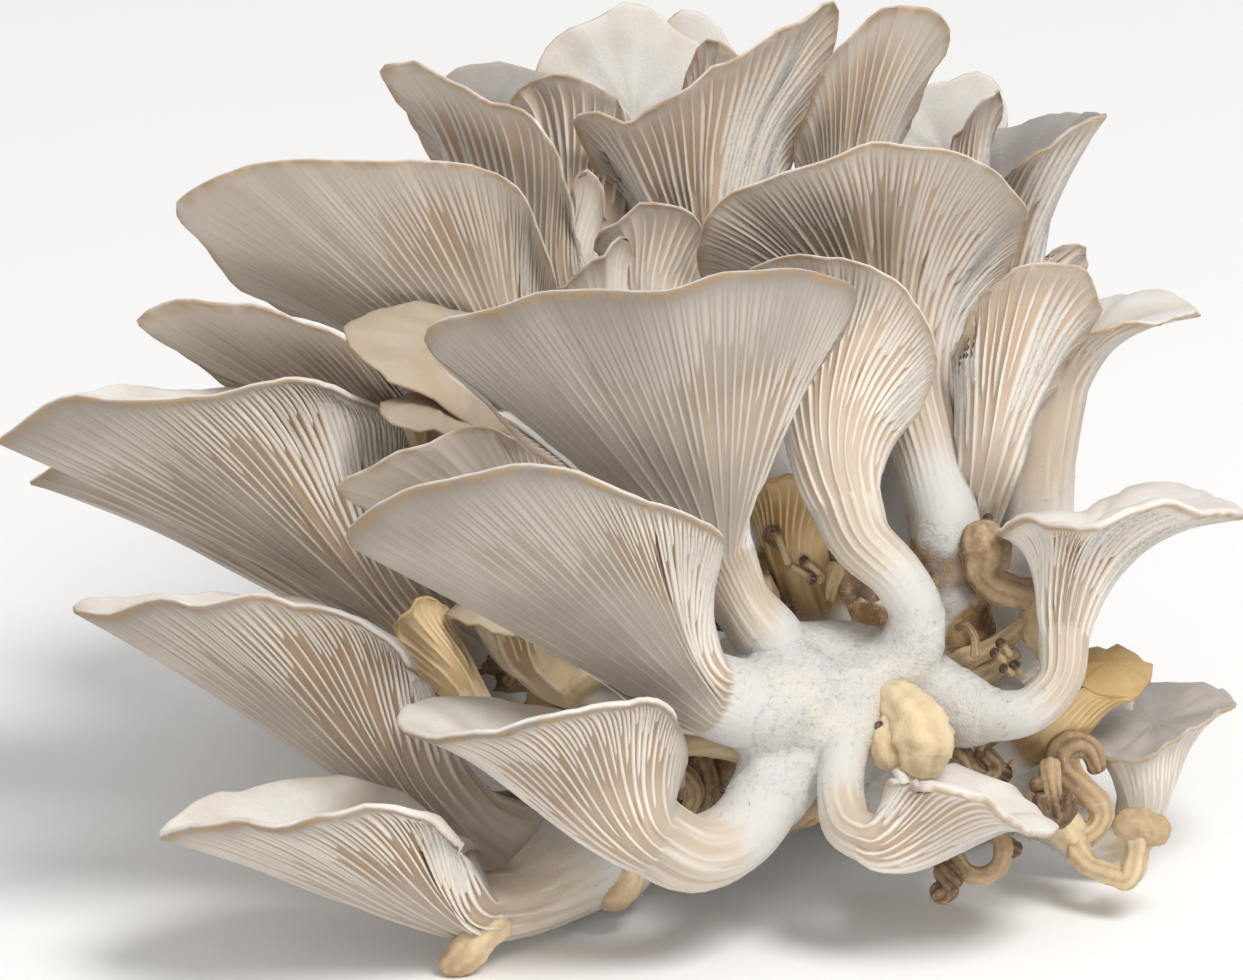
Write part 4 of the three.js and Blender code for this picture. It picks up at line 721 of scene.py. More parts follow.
def gilled_underside(cap, t, cells, fine, rng, depth, lip, filled):
    """Rings of the underside with its gills raised, and how far up a gill each vertex is."""
    u = np.arange(cells) / cells
    crest_lines = cap.controls(u)
    crest = cap.under(crest_lines, t)
    middle = cap.under(cap.controls(u + 0.5 / cells), t)
    normal_crest = cap.outward(crest)
    normal_middle = cap.outward(middle)
    width = 2 * np.linalg.norm(middle - crest, axis=-1)
    flesh = flesh_depths(cap, crest, normal_crest, t, lip, filled)

    # Height of the longest gills along a line, and of each gill once it has started.
    # They are lower where the flesh is thin, towards the tip and here and there.
    tall = np.interp(t, GILL_PLACES, GILL_HEIGHTS)[:, None] * depth
    share = np.linalg.norm(crest_lines[3] - cap.neck, axis=-1) / cap.reach
    size = smooth(crest_lines[4] / cap.radius, 0.8, 3.6)
    size = size * (1 - (0.1 + 0.7 * cap.tongue) * smooth(share, 0.6, 0.95))
    here_and_there = np.clip(0.9 + 0.55 * noise(crest, 22), 0.5, 1.1)
    tall = tall * size[None] * smooth(flesh, 0.1, 1.5) * here_and_there
    starts = gill_starts(cells, rng)
    height = tall * smooth(t[:, None], starts, starts + START_RUN)
    height = height * np.where(starts < 0, 1, SECOND_GILLS)
    short_starts = rng.uniform(0.55, 0.78, cells)
    short = SHORT_GILLS * tall * smooth(t[:, None], short_starts, short_starts + SHORT_RUN)

    # A cell has its gill's crest, the feet beside it, and in a fine cap a short gill between
    half = np.minimum(0.3, GILL_HALF_WIDTH / np.maximum(width, 1e-3))[..., None]
    inner = (1 - 2 * half) * 0.8
    nearer = np.roll(crest, -1, axis=1)
    level = 0 * height
    between = [(middle, normal_middle, short if fine else level)]
    if fine:
        between.insert(0, (middle + inner * (crest - middle), normal_middle, level))
        between.append((middle + inner * (nearer - middle), normal_middle, level))
    cell = [(crest, normal_crest, height),
            (crest + 2 * half * (middle - crest), normal_crest, level),
            *between,
            (nearer + 2 * half * (middle - nearer), np.roll(normal_crest, -1, axis=1), level)]
    per_cell = len(cell)
    columns, normals, heights = (np.stack(grids, axis=2) for grids in zip(*cell))
    columns = columns.reshape(len(t), cells * per_cell, 3)
    normals = normals.reshape(columns.shape)
    heights = heights.reshape(columns.shape[:2])
    tall = tall.repeat(per_cell, axis=1)

    # Where the lines crowd together near the neck, a blade is wider than its own columns
    gap = np.linalg.norm(np.roll(columns, -1, axis=1) - columns, axis=-1)
    place = np.concatenate([np.zeros((len(t), 1)), np.cumsum(gap, axis=1)], axis=1)
    around, place = place[:, -1:], place[:, :-1]
    blade = heights.copy()
    for shift in (-3, -2, -1, 0, 1, 2, 3):
        own, spot = (np.repeat(np.roll(grid[:, ::per_cell], -shift, axis=1), per_cell, axis=1)
                     for grid in (heights, place))
        apart = np.abs(place - spot)
        apart = np.minimum(apart, around - apart)
        blade = np.maximum(blade, own * np.clip(1 - apart / GILL_HALF_WIDTH, 0, 1))

    # Blades lean over and wander a little
    side = unit(np.roll(columns, -1, axis=1) - np.roll(columns, 1, axis=1))
    lines = np.arange(cells * per_cell) // per_cell
    wander = noise(np.stack(np.broadcast_arrays(
        lines[None] * 1.7, t[:, None] * 60, 0 * lines[None] + rng.uniform(0, 30)), axis=-1), 9)
    shift = blade * BLADE_LEAN + BLADE_WANDER * wander * blade / depth
    sunk = np.minimum(SUNK * tall, DEEPEST * flesh.repeat(per_cell, axis=1))
    points = columns + normals * (blade - sunk)[..., None] + side * shift[..., None]
    shown = np.clip(blade / np.maximum(tall, 0.05), 0, 1)
    strength = np.clip(2.2 * tall / GILL_DEPTH, 0.15, 1)
    shown = CALM_CREST + (shown - CALM_CREST) * strength
    calm = 1 - np.clip(1.7 * tall / depth, 0, 1)
    return points, shown, calm, crest, normal_crest, height, flesh


class Skin:
    """The rings of a closed skin, with the values that its material reads at each vertex."""

    usual = dict(calm=1, wool=0, crest=0.5, reach=0, upper=0, edge=0)

    def __init__(self, start):
        self.rings = []
        self.values = {key: [] for key in self.usual}
        self.add([start], calm=0, wool=1, reach=-1)

    def add(self, ring, **values):
        self.rings.append(np.asarray(ring))
        for key, usual in self.usual.items():
            self.values[key].append(np.broadcast_to(values.get(key, usual), len(ring)))

    def closed(self, end, flipped):
        self.add([end], upper=1)
        vertices, faces = woven(self.rings[1:-1], self.rings[0][0], end, flipped)
        return vertices, faces, {key: np.concatenate(self.values[key]) for key in self.usual}


def add_stem(skin, cap, cells, rows, ridges, calm, woolly, seed):
    """Fibres run all the way up a stem, and the longest gills run some way down it."""
    angle = np.interp(np.arange(cells) / cells, cap.share, cap.angle)[:, None]
    firsts = carried_back(cap.tangents, cap.first)
    last = len(cap.stem) - 1
    stem_length = np.linalg.norm(np.diff(cap.stem, axis=0), axis=1).sum()
    for row in np.linspace(0, last, rows)[:-1]:
        s = row / last
        centre, tangent, first = at_row(row, cap.stem, cap.tangents, firsts)
        radius = np.interp(row, np.arange(last + 1), cap.radii)
        side = np.cross(tangent, first) * cap.facing
        spoke = np.cos(angle) * first + np.sin(angle) * side
        turned = np.concatenate([np.cos(angle) * radius, np.sin(angle) * radius,
                                 0 * angle + s * stem_length / 16], axis=1)
        fibre = noise(turned / 1.5 + seed, 1, 2)
        swell = noise(turned / 6 + seed, 1, 1)
        ridge = smooth(s, 0.3, 1) * ridges
        white = 1 - smooth(s, woolly - 0.1, woolly + WOOL_FADE)
        bulge = STEM_FIBRE * fibre + STEM_SWELL * swell * math.sin(math.pi * s)
        bulge = (bulge + ridge - SUNK * ridge.max()) * (1 - white)
        gill = ridge / max(ridge.max(), 0.05)
        skin.add(centre + spoke * (radius + bulge[:, None]), reach=s - 1, wool=white,
                 crest=np.clip(0.5 + 0.6 * fibre + smooth(s, 0.45, 0.9) * (gill - 0.5), 0, 1),
                 calm=smooth(s, 0.4, 1) * calm)


def add_lip(skin, margin, inward, outward, thick, lines):
    for turn, line in zip(LIP_TURNS, lines):
        radians = math.radians(turn)
        ring = (margin + inward * thick * 0.5 * (1 + math.sin(radians))
                + outward * thick * 0.55 * math.cos(radians))
        skin.add(ring, crest=0.6, reach=1, upper=0.5 + turn / 130, edge=line)


def fruit_body(stem, rim, droop, seed, tongue=0, dome=None, rows=ROWS, fine=False, lip=0.8,
               depth=GILL_DEPTH, woolly=SLEEVE_SHARE):
    """One fruit body as vertices, faces and the values its material reads."""
    rng = np.random.default_rng(seed)
    cap = Cap(stem, rim, droop, tongue, seed)
    cells = int(np.clip(4 * round(cap.perimeter / GILL_SPACING / 4), FEWEST_GILLS, MOST_GILLS))
    t = np.linspace(0, 1, rows) ** ROW_CROWDING
    points, shown, calm, crest, normal, height, flesh = gilled_underside(
        cap, t, cells, fine, rng, depth, lip, dome is not None)

    skin = Skin(cap.stem[0])
    add_stem(skin, cap, cells, max(14, 4 * len(stem)), height[0], calm[0].mean(), woolly, seed)
    for row, value in enumerate(t):
        skin.add(points[row], crest=shown[row], reach=value, calm=calm[row],
                 edge=0.8 * smooth(value, 0.975, 1))
    margin = crest[-1]
    add_lip(skin, margin, -normal[-2], unit(margin - crest[-2]), flesh[-1][:, None],
            FINE_LIP_LINES if fine else LIP_LINES)

    if dome is None:
        for value in CUP_ROWS:
            row = np.interp(value, t, np.arange(rows))
            low = min(int(row), rows - 2)
            part = row - low
            place, out, depths = (grid[low] * (1 - part) + grid[low + 1] * part
                                  for grid in (crest, normal, flesh))
            bumps = CUP_BUMPS * noise(place, 9, 3) * smooth(value, 1, 0.85)
            bumps = np.clip(bumps, -0.3 * depths, 0.3 * depths)
            skin.add(place - unit(out) * (depths + bumps)[:, None], reach=value, upper=1)
        pole = cap.neck + cap.along * WELL_HEIGHT * cap.radius
    else:
        for value in DOME_ROWS:
            raised = lip + dome * (1 - value * value)
            place = cap.middle + value * (margin - cap.middle)
            bumps = DOME_BUMPS * noise(place, 11, 3)[:, None] * (1 - value)
            skin.add(place + cap.upper * (raised + bumps), reach=value, upper=1)
        pole = cap.middle + cap.upper * (dome + lip)
    return skin.closed(pole, cap.facing < 0)


def even_rim(stem, outward, upward, length, width):
    """The rim of an even fan, from its width, its length and the way it spreads."""
    out = unit(np.asarray(outward, float))
    up = np.asarray(upward, float)
    up = unit(up - dot(up, out) * out)
    across = np.cross(out, up)
    neck = np.asarray(stem[-1][:3], float)
    rim = []
    for angle in 2 * math.pi * np.arange(BACK_FAN_POINTS) / BACK_FAN_POINTS:
        wave = 1 + 0.07 * math.sin(3 * angle + length)
        rim.append(neck + out * length * (0.42 - 0.55 * math.cos(angle) * wave)
                   + across * 0.5 * width * math.sin(angle) * wave
                   + up * (12 + 5 * math.cos(2 * angle)))
    return rim


# ---------------------------------------------------------------- materials

SCATTER = (1, 0.62, 0.42)         # how far red, green and blue light runs under the skin


class Shader:
    """A material's node tree, built a node at a time."""

    def __init__(self, name):
        self.material = bpy.data.materials.new(name)
        self.material.use_nodes = True
        self.tree = self.material.node_tree
        self.skin = self.tree.nodes["Principled BSDF"]

    def node(self, kind, **settings):
        made = self.tree.nodes.new(kind)
        for key, value in settings.items():
            setattr(made, key, value)
        return made

    def link(self, source, socket):
        if hasattr(source, "bl_idname"):
            self.tree.links.new(source, socket)
        elif socket.type == "RGBA" and len(source) == 3:
            socket.default_value = (*source, 1)
        else:
            socket.default_value = source

    def value(self, name):
        return self.node("ShaderNodeAttribute", attribute_name=name).outputs["Fac"]

    def math(self, operation, a, b):
        made = self.node("ShaderNodeMath", operation=operation)
        self.link(a, made.inputs[0])
        self.link(b, made.inputs[1])
        return made.outputs[0]

    def times(self, a, b):
        return self.math("MULTIPLY", a, b)

    def plus(self, a, b):
        return self.math("ADD", a, b)

    def steps(self, source, low, high):
        """0 below low, 1 above high, smoothly."""
        made = self.node("ShaderNodeMapRange", interpolation_type="SMOOTHSTEP")
        self.link(source, made.inputs["Value"])
        made.inputs["From Min"].default_value = low
        made.inputs["From Max"].default_value = high
        return made.outputs[0]

    def mix(self, share, a, b):
        made = self.node("ShaderNodeMix", data_type="RGBA")
        for source, place in ((share, 0), (a, 6), (b, 7)):
            self.link(source, made.inputs[place])
        return made.outputs[2]

    def over(self, under, top, source, low, high, most=1):
        """One colour, with another over it where the source is high."""
        share = self.steps(source, low, high)
        return self.mix(share if most == 1 else self.times(share, most), under, top)

    def grain(self, size, detail):
        """Noise from 0 to 1 with features of the given size in mm."""
        made = self.node("ShaderNodeTexNoise")
        made.inputs["Scale"].default_value = 1 / (size * MM)
        made.inputs["Detail"].default_value = detail
        self.link(self.node("ShaderNodeTexCoord").outputs["Object"], made.inputs["Vector"])
        return made.outputs["Fac"]

    def bump(self, *layers):
        """Bumps from pairs of height source and depth in mm."""
        normal = None
        for height, depth in layers:
            made = self.node("ShaderNodeBump")
            made.inputs["Distance"].default_value = depth * MM
            self.link(height, made.inputs["Height"])
            if normal:
                self.link(normal, made.inputs["Normal"])
            normal = made.outputs[0]
        self.link(normal, self.skin.inputs["Normal"])

    def finish(self, colour, roughness, scatter, scatter_size=1.6):
        settings = {"Base Color": colour, "Roughness": roughness, "Subsurface Weight": scatter,
                    "Subsurface Radius": SCATTER, "Subsurface Scale": scatter_size * MM,
                    "Specular IOR Level": 0.25}
        for name, source in settings.items():
            self.link(source, self.skin.inputs[name])
        return self.material


WOOL_WHITE = (0.64, 0.625, 0.60)


def flesh(name, top, mottle, crest, calm_tone_and_shade, valley_shade, deep_shade, stem, shade, line):
    """Mushroom flesh: gills by how far up a blade and how near the margin, with painted shade in their
    valleys, stem, and skin.
    """
    shader = Shader(name)
    blade = shader.value("crest")
    reach = shader.value("reach")
    upper = shader.value("upper")
    edge = shader.value("edge")
    patches = shader.grain(14, 3)
    fine = shader.grain(0.9, 4)
    wide = shader.grain(26, 2)

    # Painted shade: the gill valleys are darker than the crests, and darkest in the middle of the
    # underside, where it lies deepest in shade.
    middle = shader.times(shader.steps(reach, 0.2, 0.5), shader.steps(reach, 0.98, 0.72))
    hollow_tone_and_shade = shader.mix(shader.times(middle, 0.55), valley_shade, deep_shade)
    gills = shader.over(hollow_tone_and_shade, crest, blade, 0.05, 0.62)
    # Where the gills fade out they take one colour, partly the gills' own tone and partly painted shade,
    # very dark on the wings that face down.
    gills = shader.mix(shader.times(shader.value("calm"), 0.9), gills, calm_tone_and_shade)
    gills = shader.over(gills, mottle, wide, 0.4, 0.7, 0.3)
    fibres = shader.over(shade, stem, blade, 0.1, 0.65)
    body = shader.over(gills, fibres, reach, 0.2, -0.35)
    skin = shader.over(top, mottle, patches, 0.35, 0.7)
    skin = shader.over(skin, mottle, fine, 0.35, 0.8, 0.3)
    colour = shader.over(body, skin, upper, 0.15, 0.6)
    broken = shader.steps(shader.grain(5, 3), 0.3, 0.62)
    colour = shader.mix(shader.times(shader.times(edge, broken), 0.8), colour, line)
    share = shader.plus(shader.value("wool"), shader.times(patches, 0.4))
    colour = shader.over(colour, WOOL_WHITE, share, 0.35, 1.0)
    rough = shader.plus(0.5, shader.times(fine, 0.25))
    shader.bump((fine, 0.1), (shader.grain(0.35, 2), 0.05))
    return shader.finish(colour, rough, 0.25, 1.0)


# The slot of each look of the flesh, and its colours in linear light in flesh()'s order
LOOKS = {
    "cream": ("cream_flesh",
        (0.80, 0.78, 0.75), (0.70, 0.65, 0.59), (0.88, 0.815, 0.74), (0.48, 0.41, 0.34),
        (0.60, 0.49, 0.38), (0.48, 0.35, 0.23), (0.66, 0.60, 0.51), (0.56, 0.47, 0.37),
        (0.40, 0.25, 0.11)),
    # A copy of cream with painted shade: darker valleys and a very dark colour where the gills fade out,
    # for the low and front fans whose undersides face down into shade; its crests are a little brighter.
    "shaded_cream": ("cream_flesh",
        (0.80, 0.78, 0.75), (0.66, 0.60, 0.52), (0.93, 0.86, 0.78), (0.18, 0.153, 0.127),
        (0.52, 0.405, 0.295), (0.36, 0.245, 0.15), (0.66, 0.60, 0.51), (0.56, 0.47, 0.37),
        (0.38, 0.25, 0.12)),
    "buff": ("beige_flesh",
        (0.52, 0.45, 0.36), (0.46, 0.37, 0.27), (0.66, 0.55, 0.40), (0.52, 0.41, 0.29),
        (0.42, 0.31, 0.19), (0.36, 0.23, 0.11), (0.66, 0.57, 0.43), (0.54, 0.42, 0.27),
        (0.34, 0.20, 0.08)),
    "golden": ("beige_flesh",
        (0.80, 0.66, 0.44), (0.68, 0.50, 0.28), (0.86, 0.72, 0.48), (0.76, 0.60, 0.36),
        (0.56, 0.39, 0.20), (0.46, 0.30, 0.13), (0.80, 0.66, 0.44), (0.60, 0.43, 0.23),
        (0.46, 0.27, 0.09)),
    "amber": ("beige_flesh",
        (0.60, 0.44, 0.22), (0.48, 0.31, 0.13), (0.78, 0.60, 0.34), (0.70, 0.52, 0.28),
        (0.44, 0.28, 0.11), (0.34, 0.19, 0.07), (0.36, 0.23, 0.12), (0.20, 0.11, 0.05),
        (0.40, 0.24, 0.08)),
    "grey": ("grey_flesh",
        (0.40, 0.38, 0.36), (0.54, 0.50, 0.46), (0.90, 0.84, 0.77), (0.42, 0.36, 0.30),
        (0.47, 0.37, 0.27), (0.33, 0.22, 0.13), (0.68, 0.61, 0.52), (0.54, 0.45, 0.34),
        (0.46, 0.32, 0.13)),
}
FLESH = {look: (flesh(look + "_flesh", *colours), slot) for look, (slot, *colours) in LOOKS.items()}


def wool_material():
    """White wool, turning brown in the hollows between the stems: partly brown tissue there and partly
    painted shade.
    """
    shader = Shader("mycelium")
    hollow_tone_and_shade = shader.value("hollow_tone_and_shade")
    fine = shader.grain(0.5, 5)
    tufts = shader.grain(2.2, 4)
    lumps = shader.grain(5, 3)
    white = shader.over(WOOL_WHITE, (0.70, 0.66, 0.60), shader.grain(16, 2), 0.45, 0.75)
    # The brown is partly dried tissue and partly painted shade of the deep hollows.
    brown = shader.over((0.16, 0.09, 0.045), (0.44, 0.30, 0.15), lumps, 0.35, 0.65)
    share = shader.plus(hollow_tone_and_shade, shader.times(lumps, 0.3))
    colour = shader.over(white, brown, share, 0.3, 0.75)
    shader.bump((tufts, 0.6), (fine, 0.3))
    return shader.finish(colour, 0.95, 0.4, 2.0)


def dried_material():
    """Dried flesh: tone runs from dark brown (0) through tan (0.6) to creamy yellow (1)."""
    shader = Shader("dried_flesh")
    tone = shader.value("tone")
    groove = shader.value("groove")
    streaks = shader.grain(1.4, 4)
    patches = shader.grain(5, 3)
    varied = shader.plus(tone, shader.times(patches, 0.24))
    # Painted shade: the colour darkens at the bottom of each groove.
    varied = shader.math("SUBTRACT", varied, shader.times(groove, 0.22))
    varied = shader.plus(varied, -0.1)
    varied = shader.plus(varied, shader.times(streaks, 0.16))
    colour = shader.over((0.055, 0.035, 0.025), (0.22, 0.14, 0.08), varied, 0.05, 0.4)
    colour = shader.over(colour, (0.48, 0.35, 0.21), varied, 0.35, 0.7)
    colour = shader.over(colour, (0.78, 0.64, 0.42), varied, 0.68, 1.12)
    colour = shader.over(colour, (0.66, 0.56, 0.42), streaks, 0.5, 0.8, 0.35)
    shader.bump((streaks, 0.3), (shader.grain(0.4, 3), 0.1))
    return shader.finish(colour, 0.65, 0.25)


WOOL = wool_material()
DRIED = dried_material()

# ---------------------------------------------------------------- the cluster's fruit bodies

BACK_SEED, PIN_SEED, STRAND_SEED, FUZZ_SEED = 50, 80, 140, 5
BACK_DROOP, BACK_LIP, BACK_WOOLLY = 0.25, 0.9, 0.45

for seed, (node, body) in enumerate(FRUIT_BODIES.items(), 1):
    shape = dict(body)
    material, slot = FLESH[shape.pop("look", "cream")]
    rows = FINE_ROWS if "fine" in body else ROWS
    vertices, faces, values = fruit_body(seed=seed, rows=rows, **shape)
    stands_for(add_object(node + "_flesh", vertices, faces, material, values), node)

material, slot = FLESH["cream"]
for seed, (node, fan) in enumerate(BACK_FANS.items(), BACK_SEED):
    vertices, faces, values = fruit_body(fan["stem"], even_rim(**fan), BACK_DROOP, seed,
                                         rows=BACK_ROWS, lip=BACK_LIP, woolly=BACK_WOOLLY)
    stands_for(add_object(node + "_flesh", vertices, faces, material, values), node)

# ---------------------------------------------------------------- the base and its wool

WOOL_VOXEL = 1.65
WOOL_DEPTH = 1.2                  # over the stem's skin at its root
SLEEVE_THINS = (1, 1, 0.9, 0.6, 0, -0.9)    # that depth's share up a sleeve
LIMB_SIDES, SLEEVE_SIDES, SLEEVE_ROWS = 20, 18, 12
WOOL_LUMPS, WOOL_TUFTS = (0.5, 7), (0.22, 2.4)    # height and size


def limb(line, sides, rows):
    """A swelling limb with rounded ends, as rings and their end poles."""
    path, radii, tangents = swept(line)
    last = len(path) - 1
    side = np.cross([0, 0, 1.0], tangents[-1])
    if np.linalg.norm(side) < 0.3:
        side = np.cross([1.0, 0, 0], tangents[-1])
    firsts = carried_back(tangents, unit(side))
    angle = (2 * math.pi * np.arange(sides) / sides)[:, None]
    places = [(0, -0.66, 0.5), (0, -0.42, 0.8)]
    places += [(row, 0, 1) for row in np.linspace(0, last, rows)]
    places += [(last, 0.42, 0.8), (last, 0.66, 0.5)]
    rings = []
    for row, along, scale in places:
        centre, tangent, first = at_row(row, path, tangents, firsts)
        radius = np.interp(row, np.arange(last + 1), radii)
        second = np.cross(tangent, first)
        rings.append(centre + tangent * along * radius
                     + radius * scale * (np.cos(angle) * first + np.sin(angle) * second))
    start = path[0] - 0.75 * radii[0] * tangents[0]
    end = path[-1] + 0.75 * radii[-1] * tangents[-1]
    return rings, start, end


def sleeve(stem, share):
    """Wool that climbs a share of a stem and thins out to nothing."""
    path, radii, _ = swept(stem)
    rows = np.linspace(0, share * (len(path) - 1), len(SLEEVE_THINS))
    extra = WOOL_DEPTH * np.array(SLEEVE_THINS)
    return np.column_stack([at_places(path, rows),
                            np.interp(rows, np.arange(len(radii)), radii) + extra])


def read_vectors(source, key):
    """A vector of each item of a mesh's list, such as the place of each vertex."""
    flat = np.empty(3 * len(source))
    source.foreach_get(key, flat)
    return flat.reshape(-1, 3)


def woolly_base():
    parts = [woven(*limb(line, LIMB_SIDES, 3 * len(line))) for line in BASE_LIMBS]
    for body in [*FRUIT_BODIES.values(), *BACK_FANS.values()]:
        share = body.get("woolly", SLEEVE_SHARE)
        parts.append(woven(*limb(sleeve(body["stem"], share), SLEEVE_SIDES, SLEEVE_ROWS)))
    piece = add_object("mycelium_base_wool", *merged(parts), WOOL)
    remesh = piece.modifiers.new("wool", "REMESH")
    remesh.mode = "VOXEL"
    remesh.voxel_size = WOOL_VOXEL * MM
    relax = piece.modifiers.new("relax", "SMOOTH")
    relax.factor = 0.5
    relax.iterations = 4
    graph = bpy.context.evaluated_depsgraph_get()
    mesh = bpy.data.meshes.new_from_object(piece.evaluated_get(graph))
    piece.modifiers.clear()
    piece.data = mesh

    places = read_vectors(mesh.vertices, "co") / MM
    tufts = sum(height * noise(places, size) for height, size in (WOOL_LUMPS, WOOL_TUFTS))
    places = places + read_vectors(mesh.vertex_normals, "vector") * tufts[:, None]
    places[:, 2] = np.maximum(places[:, 2], 0)
    mesh.vertices.foreach_set("co", (places * MM).ravel())
    here = from_row(places * MM)
    # How far into a hollow each vertex lies: brown tissue there, with painted shade.
    hollow_tone_and_shade = np.zeros(len(here))
    for *middle, radius in TISSUE_AND_SHADE_HOLLOWS:
        away = np.linalg.norm(here - np.array(middle), axis=1)
        hollow_tone_and_shade = np.maximum(hollow_tone_and_shade, 1 - smooth(away, 0.6 * radius, radius))
    add_values(mesh, "hollow_tone_and_shade", hollow_tone_and_shade)
    mesh.shade_smooth()
    mesh.update()
    return piece


FIBRES = 22000
STEM_FIBRES = 150                 # on each stem
FIBRE_LENGTH = 2.2
FIBRE_WIDTH = 0.055


def wool_spots(wool, rng):
    """Places on the wool, spread evenly, and the directions out of it."""
    faces = wool.data.polygons
    areas = np.empty(len(faces))
    faces.foreach_get("area", areas)
    outs = read_vectors(faces, "normal")
    areas *= 1 + 3 * (outs[:, 1] < 0.2)    # the wool shows most in front
    chosen = rng.choice(len(areas), FIBRES, p=areas / areas.sum())
    out = outs[chosen]
    stray = rng.uniform(-0.5, 0.5, (FIBRES, 3)) * WOOL_VOXEL
    places = read_vectors(faces, "center")[chosen] / MM + stray - out * dot(stray, out)
    return from_row(places * MM), from_row(out * MM) - from_row(np.zeros((1, 3)))


def stem_spots(body, rng):
    """Places on a stem where its wool thins out, and the directions out of it."""
    path, radii, tangents = swept(body["stem"])
    share = body.get("woolly", SLEEVE_SHARE)
    along = share - 0.08 + (WOOL_FADE + 0.08) * rng.uniform(0, 1, STEM_FIBRES) ** 1.6
    row = np.clip(along, 0, 1) * (len(path) - 1)
    tangent = unit(at_places(tangents, row))
    spoke = unit(np.cross(tangent, rng.normal(0, 1, (STEM_FIBRES, 3))))
    radius = np.interp(row, np.arange(len(radii)), radii)[:, None]
    return at_places(path, row) + radius * spoke, spoke


def fuzz(wool):
    """Fine spikes that stand on the wool, each a closed sliver of four faces."""
    rng = np.random.default_rng(FUZZ_SEED)
    spots = [wool_spots(wool, rng)]
    spots += [stem_spots(body, rng) for body in FRUIT_BODIES.values()]
    root, out = (np.concatenate(vectors) for vectors in zip(*spots))
    out = unit(out)
    count = len(root)
    root = root - 0.15 * out
    lean = unit(out + rng.normal(0, 0.55, (count, 3)))
    side = unit(np.cross(lean, rng.normal(0, 1, (count, 3))))
    third = np.cross(lean, side)
    width = FIBRE_WIDTH * rng.uniform(0.6, 1.2, (count, 1))
    length = FIBRE_LENGTH * rng.uniform(0.35, 1.0, (count, 1))
    corners = [root + width * (math.cos(turn) * side + math.sin(turn) * third)
               for turn in (0, 2.094, 4.189)]
    points = np.stack([*corners, root + length * lean], axis=1).reshape(-1, 3)
    pattern = np.array([[0, 2, 1], [0, 1, 3], [1, 2, 3], [2, 0, 3]])
    faces = (4 * np.arange(count)[:, None, None] + pattern).reshape(-1, 3)
    piece = add_object("mycelium_fuzz", points, faces.tolist(), WOOL)
    # Each spike takes its light as the wool under it does, so it doesn't show as a dark dash
    turned = to_row(np.repeat(out, 4, axis=0)) - to_row(np.zeros((1, 3)))
    piece.data.normals_split_custom_set_from_vertices(unit(turned).tolist())
    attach(piece, "root")


base = woolly_base()
stands_for(base, "mycelium_base")
fuzz(base)

# ---------------------------------------------------------------- pins and strands

PIN_SIDES = 24
GROOVES = 6                       # round a pin


def pin_part(line, grooved, root_tone, tip_tone, seed):
    """One line of a pin: grooved along, wrinkled across, with its tone at each vertex."""
    rings, start, end = limb(line, PIN_SIDES, 6 * len(line))
    angle = 2 * math.pi * np.arange(PIN_SIDES) / PIN_SIDES
    shaped, tones, grooves = [], [], []
    for i, ring in enumerate(rings):
        s = i / len(rings)
        middle = ring.mean(axis=0)
        wave = np.cos(GROOVES * angle + 2.5 * s + seed)
        wrinkle = 0.13 * noise(ring + seed, 2.2) + 0.1 * noise(middle[None] + seed, 3.4, 1)
        shaped.append(middle + (ring - middle) * (1 + grooved * wave + wrinkle)[:, None])
        tones.append(np.full(PIN_SIDES, root_tone + (tip_tone - root_tone) * smooth(s, 0.3, 0.9)))
        # How deep in a groove each vertex lies, which the material darkens as painted shade.
        grooves.append(np.clip(-wave * grooved / 0.12, 0, 1))
    tone = np.concatenate([[root_tone], *tones, [tip_tone]])
    return woven(shaped, start, end), tone, np.concatenate([[0], *grooves, [0]])


def add_pin(name, lines, seed):
    parts, tones, grooves = zip(*(pin_part(line, *look, seed + 10 * k)
                                  for k, (line, look) in enumerate(lines)))
    values = {"tone": np.concatenate(tones), "groove": np.concatenate(grooves)}
    return add_object(name, *merged(parts), DRIED, values)


def tiny_pin(head, hang):
    """The line and look of a small pin with a dark head, from its head and its stem's hang."""
    stops = ((0.5, 1, 0.7), (0.5, 0.6, 0.65), (0.2, 0.3, 0.7), (0, 0.1, 1.15), (0, 0, 1.0))
    line = [(*(np.array(head) + share * np.array(hang) + (0, 0, bend)), radius)
            for bend, share, radius in stops]
    return line, (0.05, 0.8, 0.1)


for seed, (node, lines) in enumerate(PINS.items(), PIN_SEED):
    stands_for(add_pin(node + "_dried", lines, seed), node)

tiny_pins = [tiny_pin(*pin) for pin in TINY_PINS]
strands = add_pin("dried_strands", STRANDS + tiny_pins, STRAND_SEED)
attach(strands, "root")

# ---------------------------------------------------------------- studio

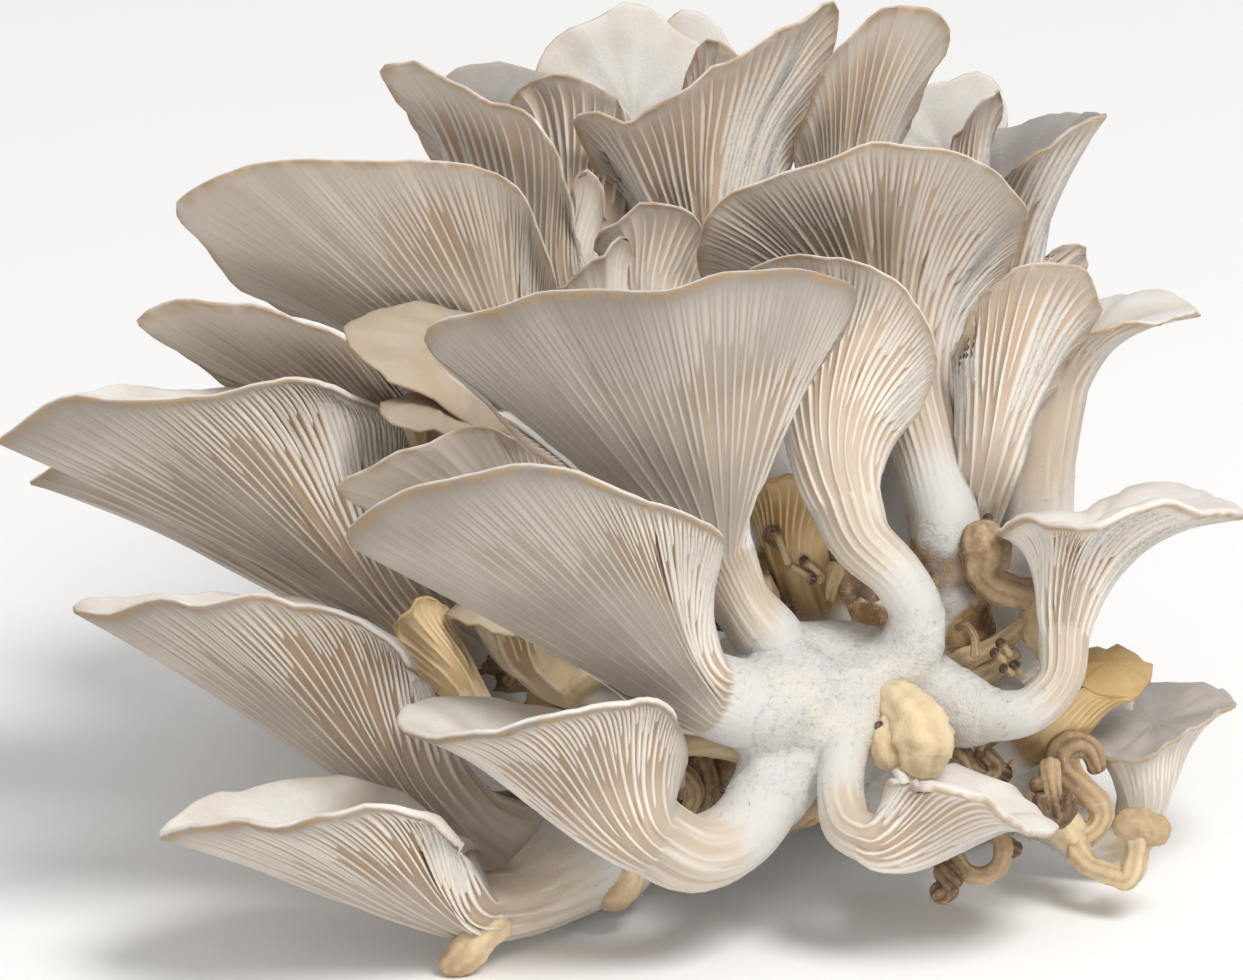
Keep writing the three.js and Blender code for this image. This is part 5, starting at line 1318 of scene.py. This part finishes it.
FLOOR_SIZE = 6.0                  # metres from the middle to an edge
PICTURE_WIDTH = 248.6             # mm across the view, at the growth frame's middle
PICTURE_MIDDLE = (0.3, 0.0, 98.0)
CAMERA_AWAY = 8000.0
SENSOR = 36.0


def add_floor():
    mesh = bpy.data.meshes.new("floor")
    corners = [(x * FLOOR_SIZE, y * FLOOR_SIZE, 0) for x, y in ((-1, -1), (1, -1), (1, 1), (-1, 1))]
    mesh.from_pydata(corners, [], [(0, 1, 2, 3)])
    floor = bpy.data.objects.new("floor", mesh)
    bpy.context.collection.objects.link(floor)
    shader = Shader("floor")
    mesh.materials.append(shader.finish((0.96, 0.96, 0.96), 0.9, 0.0))


def add_facing(name, data, place, target):
    """A lamp or camera that looks from its place at a target, both in metres."""
    made = bpy.data.objects.new(name, data)
    made.location = place
    turn = Vector(np.subtract(target, place)).to_track_quat("-Z", "Y")
    made.rotation_euler = turn.to_euler()
    bpy.context.collection.objects.link(made)
    return made


def add_light(name, place, size, power, colour):
    data = bpy.data.lights.new(name, "AREA")
    data.shape = "DISK"
    data.size = size
    data.energy = power
    data.color = colour
    add_facing(name, data, place, (0, 0, 0))


def add_world(strength):
    world = bpy.data.worlds.new("studio")
    world.use_nodes = True
    background = world.node_tree.nodes["Background"]
    background.inputs["Color"].default_value = (1, 1, 1, 1)
    background.inputs["Strength"].default_value = strength
    bpy.context.scene.world = world


def add_camera():
    data = bpy.data.cameras.new("camera")
    data.sensor_width = SENSOR
    data.lens = SENSOR * CAMERA_AWAY / PICTURE_WIDTH
    data.clip_end = 100
    place = to_row(np.add(PICTURE_MIDDLE, (0, -CAMERA_AWAY, 0)))
    bpy.context.scene.camera = add_facing("camera", data, place, to_row(PICTURE_MIDDLE))


add_floor()
add_world(0.58)
add_light("key", (0.75, -0.9, 1.7), 0.9, 27, (1.0, 0.985, 0.96))
add_light("fill", (-0.4, -1.9, 0.12), 0.8, 11, (1.0, 0.98, 0.95))
add_camera()
bpy.context.scene.view_settings.view_transform = "Standard"
